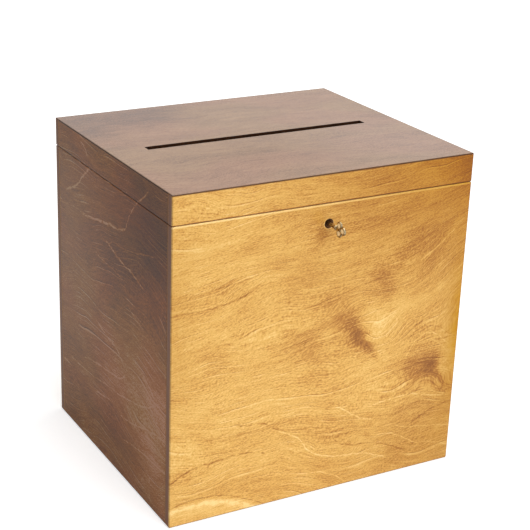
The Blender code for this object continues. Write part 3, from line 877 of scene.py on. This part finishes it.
@dataclass(frozen=True)
class Metal:
    """A metal with patches of tarnish, and a cast grain or fine scratches.

    Attributes:
        name: The material's name.
        bright: Its colour where it is rubbed.
        dull: Its colour where it has tarnished.
        roughness: Its roughness where it is rubbed.
        patch: The size of the tarnish patches in millimetres.
        tarnish: Where on the noise's scale the tarnish begins; lower is more.
        brushed: The axis that fine scratches run along, or None.
        lobes: The centres, in Y and Z, of round faces that wear has polished, in millimetres.
        lobe_radius: The radius of those faces.
        haze: How much of their mirror gives way to a matt painted highlight on those faces, 0 to 1.
        relief: The height of its grain in metres.
    """

    name: str
    bright: Colour
    dull: Colour
    roughness: float = 0.28
    patch: float = 3.0
    tarnish: float = 0.5
    brushed: Optional[int] = None
    lobes: tuple[Pair, ...] = ()
    lobe_radius: float = 0.0
    haze: float = 0.95
    relief: float = 0.00002

    def material(self) -> bpy.types.Material:
        """The metal's material."""
        return finish_material(self.name, self._build, {"IOR": 1.5, "Specular Tint": self.bright})

    def _build(self, nodes: Nodes) -> dict[str, Any]:
        """The varying inputs: tarnish in soft patches, and grain or scratches in the bump.

        Args:
            nodes: The material's nodes.

        Returns:
            The shader's inputs, by name.
        """
        axes = nodes.object_axes()
        patch = nodes.noise(nodes.point(*(axis / self.patch for axis in axes)), 4.0, 0.6)
        tarnish = patch.ease(self.tarnish - 0.12, self.tarnish + 0.18)
        metallic: Number = 1.0
        # On the key, the lobes take the bright colour as a partly matt painted highlight, and
        # elsewhere at least half tarnish darkens the rims, partly as painted shade.
        if self.lobes:
            polish_and_highlight = self._polish_and_highlight(nodes, axes[1], axes[2])
            tarnish = (0.5 + 0.5 * tarnish) * (1 - polish_and_highlight)
            metallic = 1 - self.haze * polish_and_highlight
        sizes = [CAST_GRAIN if self.brushed is None else SCRATCH_WIDTH] * 3
        if self.brushed is not None:
            sizes[self.brushed] = SCRATCH_LENGTH
        grain = nodes.noise(nodes.point(*(axis / size for axis, size in zip(axes, sizes))))
        return {
            "Base Color": nodes.mix(tarnish, self.bright, self.dull),
            "Roughness": self.roughness + 0.22 * tarnish + 0.12 * (grain - 0.5),
            "Metallic": metallic,
            "Normal": nodes.bump(grain, self.relief, 0.35),
        }

    def _polish_and_highlight(self, nodes: Nodes, y: Value, z: Value) -> Value:
        """1 within the lobes, where the painted highlight lies, 0 beyond their rims.

        Args:
            nodes: The material's nodes.
            y: Millimetres along the key's axis.
            z: The height in millimetres.

        Returns:
            How polished and painted bright the place is, 0 to 1.
        """
        polish_and_highlight: Number = 0.0
        for centre_y, centre_z in self.lobes:
            off_y, off_z = y - centre_y, z - centre_z
            reach = nodes.math("SQRT", off_y * off_y + off_z * off_z)
            polish_and_highlight = reach.ease(self.lobe_radius, 0.75 * self.lobe_radius).most(polish_and_highlight)
        return polish_and_highlight


@dataclass
class Studio:
    """The pale floor, the soft lights and the camera.

    Attributes:
        camera_place: The camera's place in metres.
        azimuth: Its turn about the vertical, in degrees.
        elevation: How far it looks down, in degrees.
        roll: Its turn about its own line of sight, in degrees.
        sensor: The width of its sensor in millimetres.
        lens: Its focal length in millimetres.
        shift: How far the picture moves on the sensor, in widths of the sensor.
        floor_size: The floor's side in metres.
        floor_drop: How far the floor lies below the box, in metres.
    """

    camera_place: Point = (-0.5918, -1.0416, 0.6406)
    azimuth: float = -28.03
    elevation: float = 21.45
    roll: float = 1.37
    sensor: float = 36.0
    lens: float = 94.27
    shift: Pair = (0.0881, 0.0055)
    floor_size: float = 14.0
    floor_drop: float = 0.0004

    def build(self) -> None:
        """Makes the stage, the lights, the world and the camera."""
        self._floor()
        lamp = self._area("key_light", (0.1, -1.5, 0.75), (0.0, -0.05, 0.16), size=1.4, power=12.0)
        lamp.visible_glossy = False
        self._area("top_light", (0.1, -0.3, 1.8), (0.0, 0.0, 0.25), size=1.2, power=22.0)
        self._world()
        self._camera()

    def _floor(self) -> None:
        """A pale floor that keeps the box's shadow.

        To the camera it also glows, by half near the box and more further off, where it meets the
        white world. Metal and lacquer show a tenth of white there.
        """
        half = self.floor_size / 2
        mesh = bpy.data.meshes.new("floor")
        corners = [(-half, -half), (half, -half), (half, half), (-half, half)]
        mesh.from_pydata([(x, y, -self.floor_drop) for x, y in corners], [], [(0, 1, 2, 3)])
        floor = bpy.data.objects.new("floor", mesh)
        bpy.context.scene.collection.objects.link(floor)
        material = bpy.data.materials.new("floor_white")
        material.use_nodes = True
        nodes = Nodes(material.node_tree)
        camera, glossy = nodes.rays("Camera", "Glossy")
        x, y, _ = nodes.object_axes()
        away = nodes.math("SQRT", x * x + y * y)
        strength = (0.5 + 0.4 * away.ease(300, 1600)) * camera + 0.1 * glossy
        matt = nodes.add("ShaderNodeBsdfDiffuse", {}, {"Color": (0.8, 0.8, 0.8)})
        glow = nodes.add("ShaderNodeEmission", {}, {"Strength": strength})
        both = nodes.add("ShaderNodeAddShader", {}, {0: matt.outputs[0], 1: glow.outputs[0]})
        nodes.add("ShaderNodeOutputMaterial", {}, {"Surface": both.outputs[0]})
        mesh.materials.append(material)

    @staticmethod
    def _area(
        name: str, place: Point, target: Point, size: float, power: float
    ) -> bpy.types.Object:
        """A square soft light.

        Args:
            name: The light's name.
            place: Its place in metres.
            target: The point that it is turned to.
            size: Its side in metres.
            power: Its power in watts.

        Returns:
            The light.
        """
        data = bpy.data.lights.new(name, "AREA")
        data.size = size
        data.energy = power
        light = bpy.data.objects.new(name, data)
        light.location = place
        light.rotation_euler = (Vector(target) - Vector(place)).to_track_quat("-Z", "Y").to_euler()
        bpy.context.scene.collection.objects.link(light)
        return light

    @staticmethod
    def _world() -> None:
        """White to the camera and in reflections, and a dim even light on the surfaces."""
        world = bpy.data.worlds.new("studio")
        world.use_nodes = True
        bpy.context.scene.world = world
        nodes = Nodes(world.node_tree)
        camera, glossy, through = nodes.rays("Camera", "Glossy", "Transmission")
        strength = 0.4 + 0.6 * camera.most(glossy).most(through)
        white = {"Color": (1.0, 1.0, 1.0), "Strength": strength}
        back = nodes.add("ShaderNodeBackground", {}, white)
        nodes.add("ShaderNodeOutputWorld", {}, {"Surface": back.outputs[0]})

    def _camera(self) -> None:
        """The camera at the photograph's place and angle."""
        data = bpy.data.cameras.new("camera")
        data.sensor_width = self.sensor
        data.lens = self.lens
        data.shift_x, data.shift_y = self.shift
        camera = bpy.data.objects.new("camera", data)
        turn = Matrix.Rotation(math.radians(self.azimuth), 4, "Z")
        tilt = Matrix.Rotation(math.radians(90 - self.elevation), 4, "X")
        roll = Matrix.Rotation(math.radians(self.roll), 4, "Z")
        camera.matrix_world = Matrix.Translation(self.camera_place) @ turn @ tilt @ roll
        bpy.context.scene.collection.objects.link(camera)
        bpy.context.scene.camera = camera
        bpy.context.scene.view_settings.view_transform = "Standard"


def dress(material: bpy.types.Material, *nodes: str) -> None:
    """Gives CAD nodes their material.

    Args:
        material: The finish.
        *nodes: The names of the nodes.
    """
    for name in nodes:
        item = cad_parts[name]
        item.data.materials.clear()
        item.data.materials.append(material)
        LOG.info("%s: %s", name, material.name)


FRONT_FIGURE_AND_SHADE = (
    Bloom((340, 200), (150, 75), lift=46),
    Bloom((330, 240), (70, 60), lift=32),
    Bloom((310, 10), (150, 74), lift=-32),
    Bloom((45, -5), (60, 28), lift=14),
    Bloom((190, 150), (45, 35), wild=0.22),
    Bloom((120, 45), (60, 20), wild=0.3),
    Bloom((173, 156), (20, 12), turn=-48, shade=-0.3),
    Bloom((184, 142), (18, 8), turn=-56, shade=-0.38),
    Bloom((196, 128), (12, 3), turn=-48, shade=-0.22),
    Bloom((205, 148), (16, 14), shade=0.14, lift=-6),
    Bloom((252, 102), (21, 14), turn=-8, shade=-0.28),
    Bloom((264, 104), (9, 13), turn=-15, shade=-0.24),
    Bloom((277, 84), (20, 8), turn=-52, shade=-0.28),
    Bloom((292, 142), (18, 70), shade=0.42, warm=0.8),
    Bloom((276, 96), (5, 9), turn=30, shade=0.3),
    Bloom((288, 288), (22, 16), shade=-0.14),
    Bloom((262, 205), (26, 18), turn=30, shade=-0.12),
    Bloom((227, 168), (20, 12), shade=0.16),
    Bloom((130, 146), (18, 12), turn=-20, shade=-0.16),
    Bloom((207, 187), (9, 21), turn=18, shade=-0.18),
    Bloom((228, 215), (34, 9), turn=26, shade=-0.15),
    Bloom((45, 226), (34, 10), turn=4, shade=0.08),
    Bloom((22, 256), (34, 20), shade=0.16, warm=0.1),
    Bloom((14, 62), (22, 15), shade=0.14),
    Bloom((4, 190), (16, 90), shade=0.06, warm=0.3),
    Bloom((34, 9), (44, 7), turn=-5, shade=0.22),
    # Painted shadow of the key, below and to the left of the keyhole.
    Bloom((139, 246), (7, 6), turn=30, shade=-0.14, warm=0.3),
    Bloom((60, 92), (120, 34), shade=0.05),
    Bloom((60, 290), (90, 12), wild=0.2, shade=0.06),
    Bloom((250, 290), (60, 10), wild=0.3, shade=0.06),
    # Painted shade: the front deeper and darker towards its upper right, where the light falls off.
    Bloom((310, 310), (190, 110), shade=-0.08, warm=0.95),
    Bloom((298, 50), (50, 90), warm=0.4),
    Bloom((240, 28), (80, 42), warm=0.28),
    Bloom((288, 112), (9, 26), shade=0.22),
)

FRONT_VEINS = (
    Vein(((-15, 34), (0, 42), (15, 50), (40, 54), (80, 55), (91, 51), (97, 44)), -0.34, 1.5),
    Vein(((56, 87), (75, 82), (88, 81), (103, 72), (140, 65), (158, 61)), -0.28, 1.5),
    Vein(((150, 62), (159, 58), (163, 48), (176, 40), (205, 35), (245, 17)), -0.26, 1.4),
    Vein(((98, 72), (125, 58), (135, 45), (150, 35), (200, 25), (225, 14)), 0.42),
    Vein(((-15, 9), (0, 14), (20, 16), (40, 15), (62, 9), (88, -3)), 0.5, 4.4),
    Vein(((-15, 15), (0, 19), (25, 22), (48, 20), (75, 10), (98, -3)), -0.3),
    Vein(((158, 81), (168, 78), (182, 68), (195, 62), (206, 60)), 0.45),
    Vein(((196, 73), (215, 76), (238, 77), (262, 72), (290, 66)), 0.45, 1.0),
    Vein(((224, 40), (240, 44), (255, 51), (272, 58), (300, 60)), -0.28, 1.4),
    Vein(((205, 44), (230, 38), (250, 26), (268, 22), (300, 10)), 0.39),
    Vein(((120, 22), (150, 18), (170, 8), (180, -4)), 0.39),
    Vein(((225, 54), (232, 46), (250, 42), (272, 38), (300, 34)), 0.33),
    Vein(((232, 104), (240, 125), (252, 134), (264, 133), (276, 124), (292, 106)), 0.39, 1.1, 4),
    Vein(((240, 106), (248, 124), (258, 128), (270, 122), (284, 106)), 0.27, 0.9, 4),
    Vein(((228, 118), (234, 131), (246, 140), (262, 141), (278, 132), (300, 116)), -0.27),
    Vein(((-15, 194), (5, 196), (30, 197), (58, 201), (82, 210)), -0.3, 1.3),
    Vein(((34, 212), (60, 216), (84, 221)), -0.33),
    Vein(((120, 180), (150, 186), (180, 193), (215, 199)), -0.27),
    Vein(((240, 206), (258, 217), (272, 228), (288, 244)), 0.36, 1.2),
)

BACK_FIGURE = (
    Bloom((145, 150), (320, 320), warm=0.5, shade=0.12),
    Bloom((96, 92), (60, 44), lift=26),
    Bloom((104, 96), (18, 8), turn=24, shade=-0.28),
    Bloom((215, 190), (80, 40), lift=-18, wild=0.15),
    Bloom((228, 60), (60, 24), shade=0.14),
    Bloom((40, 220), (50, 30), shade=-0.1),
)

LEFT_FIGURE_AND_SHADING = (
    Bloom((190, 215), (85, 40), lift=22, wild=0.1),
    Bloom((150, 105), (90, 40), lift=12),
    # Lighter and darker patches, partly the stain's own and partly painted light and shade for how
    # light and reflections fall over this side.
    Bloom((40, 240), (70, 45), shade=0.1),
    Bloom((215, 255), (60, 60), shade=-0.3, warm=0.5),
    Bloom((130, 200), (55, 35), shade=-0.1, warm=0.2),
    Bloom((195, 105), (85, 42), shade=0.3),
    Bloom((40, 140), (60, 45), shade=0.16),
    Bloom((110, 20), (150, 50), shade=0.12, warm=0.2),
    Bloom((120, 38), (100, 14), shade=-0.14),
    Bloom((225, 50), (40, 55), shade=0.22),
    Bloom((10, 215), (110, 110), shade=-0.06, gloss=0.3),
)

LEFT_VEINS = (
    Vein(((22, 236), (34, 241), (47, 247), (57, 254), (68, 264), (84, 274)), 0.85, 1.8),
    Vein(((60, 293), (67, 291), (73, 286), (79, 278)), 0.7, 1.7, 4),
    Vein(
        (
            (60, 224), (88, 229), (120, 234), (147, 238), (158, 242), (163, 251), (170, 260),
            (184, 274), (194, 281), (203, 288), (208, 298),
        ),
        0.8,
        1.8,
    ),
    Vein(((105, 217), (123, 217), (133, 221), (150, 222), (173, 226), (197, 232), (222, 238)), 0.5),
    Vein(
        ((114, 219), (122, 216), (137, 212), (150, 209), (160, 208), (177, 205), (197, 201)),
        0.8,
        1.7,
    ),
    Vein(((2, 220), (40, 225), (90, 228)), 0.35),
    Vein(((90, 199), (117, 196), (133, 196), (155, 192)), 0.5),
    Vein(((92, 133), (117, 126), (133, 124), (147, 118), (155, 111), (158, 101)), 0.42, 1.7, 4),
    Vein(((60, 82), (92, 89), (130, 94), (146, 97), (159, 105)), 0.38, 1.6, 5),
    Vein(((192, 119), (204, 117), (213, 112), (219, 103)), 0.42, 1.7, 4),
    Vein(
        ((25, 69), (57, 70), (83, 72), (117, 77), (137, 79), (160, 83), (197, 92), (220, 104)),
        0.48,
    ),
    Vein(((140, 60), (160, 62), (180, 66), (200, 72), (225, 77), (250, 80)), 0.48),
    Vein(((86, 58), (107, 62), (126, 65)), 0.55, 1.3),
    Vein(((150, 39), (183, 44), (200, 46), (233, 48), (252, 50)), 0.6),
    Vein(((2, 57), (20, 60), (34, 58)), 0.45, 1.3),
    Vein(((160, 177), (180, 167), (196, 167)), 0.5),
)

LID_FIGURE_AND_SHADE = (
    Bloom((262, 50), (90, 95), gloss=0.2, shade=-0.06),
    # Painted shade: the lid darker towards its back left, where the light falls off.
    Bloom((62, 222), (60, 34), shade=-0.32),
    Bloom((10, 190), (24, 50), shade=-0.2),
    # Painted shadow of an envelope standing in the slot, on the lid in front of it, with less
    # lacquer there too.
    Bloom((110, 70), (60, 50), gloss=-0.1, shade=-0.06),
)


@dataclass
class Box:
    """The body's boards and the lid's boards.

    Attributes:
        slot_length: The length of the lid's slot in millimetres.
        slot_width: The width of that slot in millimetres.
        keyhole_radius: The radius of the hole in the front in millimetres.
    """

    slot_length: float = 220.0
    slot_width: float = 8.6
    keyhole_radius: float = 4.3

    def build(self) -> None:
        """Dresses each side's body board and lid board from one sheet, so the figure runs on."""
        half_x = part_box("front_panel")[1].x * MM
        half_y = -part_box("front_panel")[0].y * MM
        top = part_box("lid_top_panel")[1].z * MM
        wide, deep = ((-half_x, 0.0), (half_x, top)), ((-half_y, 0.0), (half_y, top))
        flat = ((-half_x, -half_y), (half_x, half_y))
        key_height = sum(corner.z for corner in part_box("key")) / 2 * MM
        keyhole = ((half_x, key_height), (0.0, 0.0), self.keyhole_radius)
        slot = ((half_x, half_y), (self.slot_length / 2, self.slot_width / 2), 0.0)
        boards = (
            Plywood(
                "plywood_front", Face.FRONT, HONEY, seed=1.0, outline=wide, surface=-half_y,
                blooms=FRONT_FIGURE_AND_SHADE, veins=FRONT_VEINS, contrast=0.92, lines=0.24,
                opening=keyhole, rubbed=0.4, seam=0.5,
            ),
            Plywood(
                "plywood_back", Face.BACK, HONEY, seed=21.0, outline=wide, surface=half_y,
                blooms=BACK_FIGURE, contrast=0.92, lines=0.3, seam=0.5,
            ),
            Plywood(
                "plywood_left", Face.LEFT, SHADED_SIDE_STAIN, seed=33.0, outline=deep, surface=-half_x,
                blooms=LEFT_FIGURE_AND_SHADING, veins=LEFT_VEINS, contrast=1.05, lines=0.45, coat=0.25,
                drift=1.0,
            ),
            Plywood(
                "plywood_right", Face.RIGHT, SHADED_SIDE_STAIN, seed=47.0, outline=deep, surface=half_x,
                lines=0.4, drift=1.0,
            ),
            Plywood(
                "plywood_lid", Face.TOP, SHADED_LID_STAIN, seed=58.0, outline=flat, surface=top,
                blooms=LID_FIGURE_AND_SHADE, cut_stain=SHADED_END_GRAIN_STAIN, contrast=0.8, opening=slot, coat=0.8,
                drift=0.6,
            ),
            Plywood(
                "plywood_base", Face.BASE, SHADED_SIDE_STAIN, seed=71.0, outline=flat, surface=0.0,
                thickness=6.0,
            ),
        )
        pieces = (
            ("front_panel", "lid_front_rail"),
            ("back_panel", "lid_back_rail"),
            ("left_panel", "lid_left_rail"),
            ("right_panel", "lid_right_rail"),
            ("lid_top_panel",),
            ("base_panel",),
        )
        for board, names in zip(boards, pieces):
            dress(board.material(), *names)


def circle(count: int) -> np.ndarray:
    """Angles once round, evenly spaced, in radians."""
    return np.linspace(0, 2 * np.pi, count, endpoint=False)


def loft(rows: np.ndarray, wraps: bool) -> Form:
    """Joins closed loops of points into a closed surface.

    Args:
        rows: Points by loop and by place along the loop, an array of shape (loops, points, 3).
        wraps: True where the last loop joins the first; otherwise both ends are capped.

    Returns:
        The points in one list, and the faces as point numbers.
    """
    loops, count, _ = rows.shape
    number = np.arange(loops * count).reshape(loops, count)
    here = number if wraps else number[:-1]
    there = np.roll(number, -1, axis=0) if wraps else number[1:]
    corners = (here, np.roll(here, -1, axis=1), np.roll(there, -1, axis=1), there)
    faces = [tuple(face) for face in np.stack(corners, axis=-1).reshape(-1, 4).tolist()]
    if not wraps:
        faces += [tuple(number[0, ::-1].tolist()), tuple(number[-1].tolist())]
    return rows.reshape(-1, 3), faces


def cast_piece(
    name: str, forms: list[Form], grain: float, material: bpy.types.Material
) -> bpy.types.Object:
    """Melts closed surfaces that cross one another into one casting.

    Args:
        name: The piece's name.
        forms: The surfaces, as points and faces.
        grain: The size of its mesh's cells in metres.
        material: The finish.

    Returns:
        The piece, in its place.
    """
    starts = np.cumsum([0] + [len(points) for points, _ in forms])
    points = np.concatenate([points for points, _ in forms])
    faces = [
        tuple(start + corner for corner in face)
        for start, (_, own) in zip(starts.tolist(), forms)
        for face in own
    ]
    mesh = bpy.data.meshes.new(name)
    mesh.from_pydata(points.tolist(), [], faces)
    mesh.materials.append(material)
    piece = bpy.data.objects.new(name, mesh)
    bpy.context.scene.collection.objects.link(piece)
    melt = piece.modifiers.new("melt", "REMESH")
    melt.mode = "VOXEL"
    melt.voxel_size = grain
    melt.use_smooth_shade = True
    soften = piece.modifiers.new("soften", "SMOOTH")
    soften.factor = 0.5
    soften.iterations = 4
    return piece


@dataclass
class Key:
    """The old cast key: a turned stem with a moulded neck, a bit, and a bow of three lobes.

    Its lengths are in metres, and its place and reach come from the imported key's box.

    Attributes:
        stem: The stem's radius.
        neck: The radius of the neck's widest moulding.
        ring: The radius of a lobe's ring, to the middle of its wire.
        wire: The radius of that wire.
        dome: How far a lobe's domed face stands out of the bow's middle plane.
        spread: How far the two inner lobes lie above and below the axis.
        step: How far they lie inwards from the outer lobe.
        neck_length: The length of the neck.
        bit_length: The bit's length along the stem.
        bit_reach: How far the bit reaches down from the axis.
        bit_thickness: The bit's thickness.
        ward_width: The width of the cut between its teeth.
        grain: The size of its mesh's cells.
        low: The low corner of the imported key's box.
        high: The high corner of that box.
    """

    stem: float = 0.0016
    neck: float = 0.0023
    ring: float = 0.00265
    wire: float = 0.001
    dome: float = 0.00095
    spread: float = 0.0034
    step: float = 0.0054
    neck_length: float = 0.0022
    bit_length: float = 0.0052
    bit_reach: float = 0.0036
    bit_thickness: float = 0.0014
    ward_width: float = 0.0011
    grain: float = 0.00014
    low: Vector = field(default_factory=lambda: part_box("key")[0])
    high: Vector = field(default_factory=lambda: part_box("key")[1])

    @property
    def axis_z(self) -> float:
        """The height of the stem's axis."""
        return (self.low.z + self.high.z) / 2

    def build(self, metal: Metal) -> None:
        """Casts the key in place of the plain one.

        Args:
            metal: Its finish, to which the polished lobes and their painted highlight are added.
        """
        end = self.low.y + self.ring + self.wire
        side = end + self.step
        neck = side + self.ring + self.wire + self.neck_length / 2
        lobes = ((end, 0.0), (side, self.spread), (side, -self.spread))
        forms = [self._stem(end + self.ring, neck), *self._bit()]
        for y, rise in lobes:
            forms += [self._ring(y, rise), self._dome(y, rise)]
        polished = replace(
            metal,
            lobes=tuple((y * MM, (self.axis_z + rise) * MM) for y, rise in lobes),
            lobe_radius=(self.ring - 0.3 * self.wire) * MM,
        )
        piece = cast_piece("cast_key", forms, self.grain, polished.material())
        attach(piece, "loose_key")
        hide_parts("key")
        LOG.info("cast_key: %s", metal.name)

    def _stem(self, start: float, neck: float) -> Form:
        """The stem as a turned shape along Y.

        Its radius is the stem's, plus a bell-shaped swell at the middle of the neck and a
        smaller one on each side of it, and it closes as a quarter circle at the tip.

        Args:
            start: The Y of its outer end.
            neck: The Y of the middle of its neck.

        Returns:
            Its points and faces.
        """
        place = np.linspace(start, self.high.y, 240)
        radius = np.full_like(place, self.stem)
        for offset, share, width in ((0.0, 1.0, 0.3), (-0.55, 0.6, 0.16), (0.55, 0.6, 0.16)):
            centre = neck + offset * self.neck_length
            swell = share * (self.neck - self.stem)
            radius += swell * np.exp(-(((place - centre) / (width * self.neck_length)) ** 2))
        short = np.clip((place - self.high.y + self.stem) / self.stem, 0.0, 0.999)
        radius = radius * np.sqrt(1 - short**2)
        turn = circle(40)
        rows = np.stack(
            np.broadcast_arrays(
                radius[:, None] * np.cos(turn),
                place[:, None],
                self.axis_z + radius[:, None] * np.sin(turn),
            ),
            axis=-1,
        )
        return loft(rows, wraps=False)

    def _ring(self, y: float, rise: float) -> Form:
        """A ring that stands in the plane of Y and Z.

        A circle of the wire's radius, carried round a circle of the ring's radius.

        Args:
            y: The Y of its centre.
            rise: How far its centre lies above the stem's axis.

        Returns:
            Its points and faces.
        """
        round_ring, round_wire = np.meshgrid(circle(72), circle(24), indexing="ij")
        reach = self.ring + self.wire * np.cos(round_wire)
        rows = np.stack(
            (
                self.wire * np.sin(round_wire),
                y + reach * np.cos(round_ring),
                self.axis_z + rise + reach * np.sin(round_ring),
            ),
            axis=-1,
        )
        return loft(rows, wraps=True)

    def _dome(self, y: float, rise: float) -> Form:
        """The domed face within a ring, on both sides: a ball flattened along X.

        It starts a small angle from each pole, where a flat cap closes it.

        Args:
            y: The Y of its centre.
            rise: How far its centre lies above the stem's axis.

        Returns:
            Its points and faces.
        """
        cap = 0.08
        tilt, turn = np.meshgrid(np.linspace(cap, np.pi - cap, 20), circle(48), indexing="ij")
        rows = np.stack(
            (
                self.dome * np.cos(tilt),
                y + self.ring * np.sin(tilt) * np.cos(turn),
                self.axis_z + rise + self.ring * np.sin(tilt) * np.sin(turn),
            ),
            axis=-1,
        )
        return loft(rows, wraps=False)

    def _bit(self) -> list[Form]:
        """The bit: two teeth below a web, so that the ward's cut is left between them.

        Returns:
            The points and faces of its three blocks.
        """
        end = self.high.y - self.stem / 2
        start = end - self.bit_length
        tooth = (self.bit_length - self.ward_width) / 2
        web = self.axis_z - self.stem - self.ward_width / 2
        foot = self.axis_z - self.bit_reach
        return [
            self._block(start, start + tooth, foot, self.axis_z),
            self._block(end - tooth, end, foot, self.axis_z),
            self._block(start, end, web, self.axis_z),
        ]

    def _block(self, start: float, end: float, foot: float, top: float) -> Form:
        """A block of the bit's thickness: its outline in Y and Z, at one X and at the other.

        Args:
            start: Its low Y.
            end: Its high Y.
            foot: Its low Z.
            top: Its high Z.

        Returns:
            Its points and faces.
        """
        outline = np.array([(start, foot), (end, foot), (end, top), (start, top)])
        sides = np.array([-0.5, 0.5]) * self.bit_thickness
        rows = np.stack([np.column_stack((np.full(4, x), outline)) for x in sides])
        return loft(rows, wraps=False)


LACQUERED_BRASS = Metal("hinge_brass", srgb(216, 178, 106), srgb(190, 148, 82), 0.26, patch=9.0)
TURNED_BRASS = Metal("screw_brass", srgb(206, 166, 96), srgb(158, 116, 62), 0.3, patch=2.5)
CAST_BRASS = Metal("lock_brass", srgb(200, 164, 98), srgb(164, 126, 72), 0.36, patch=7.0, brushed=0)
PLAIN_STEEL = Metal("lock_steel", srgb(190, 188, 184), srgb(120, 116, 110), 0.32, brushed=0)
# The key's bright cream is the painted highlight on its lobes, and its dark brown also darkens the
# rims as painted shade.
OLD_BRASS = Metal("key_brass", srgb(255, 236, 190), srgb(84, 58, 22), 0.22, patch=1.6)


def main() -> None:
    """Builds the stage and dresses every piece."""
    logging.basicConfig(level=logging.INFO, format="%(name)s: %(message)s")
    Studio().build()
    Box().build()
    names = sorted(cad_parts)
    dress(LACQUERED_BRASS.material(), *(n for n in names if "leaf" in n and "screw" not in n))
    dress(TURNED_BRASS.material(), *(n for n in names if "screw" in n))
    dress(CAST_BRASS.material(), "lock_backplate", "lock_case", "strike_plate")
    steel = ("lock_bolt", "lock_hub", "lock_spring", "left_hinge_pin", "right_hinge_pin")
    dress(PLAIN_STEEL.material(), *steel)
    Key().build(OLD_BRASS)


if __name__ == "__main__":
    main()
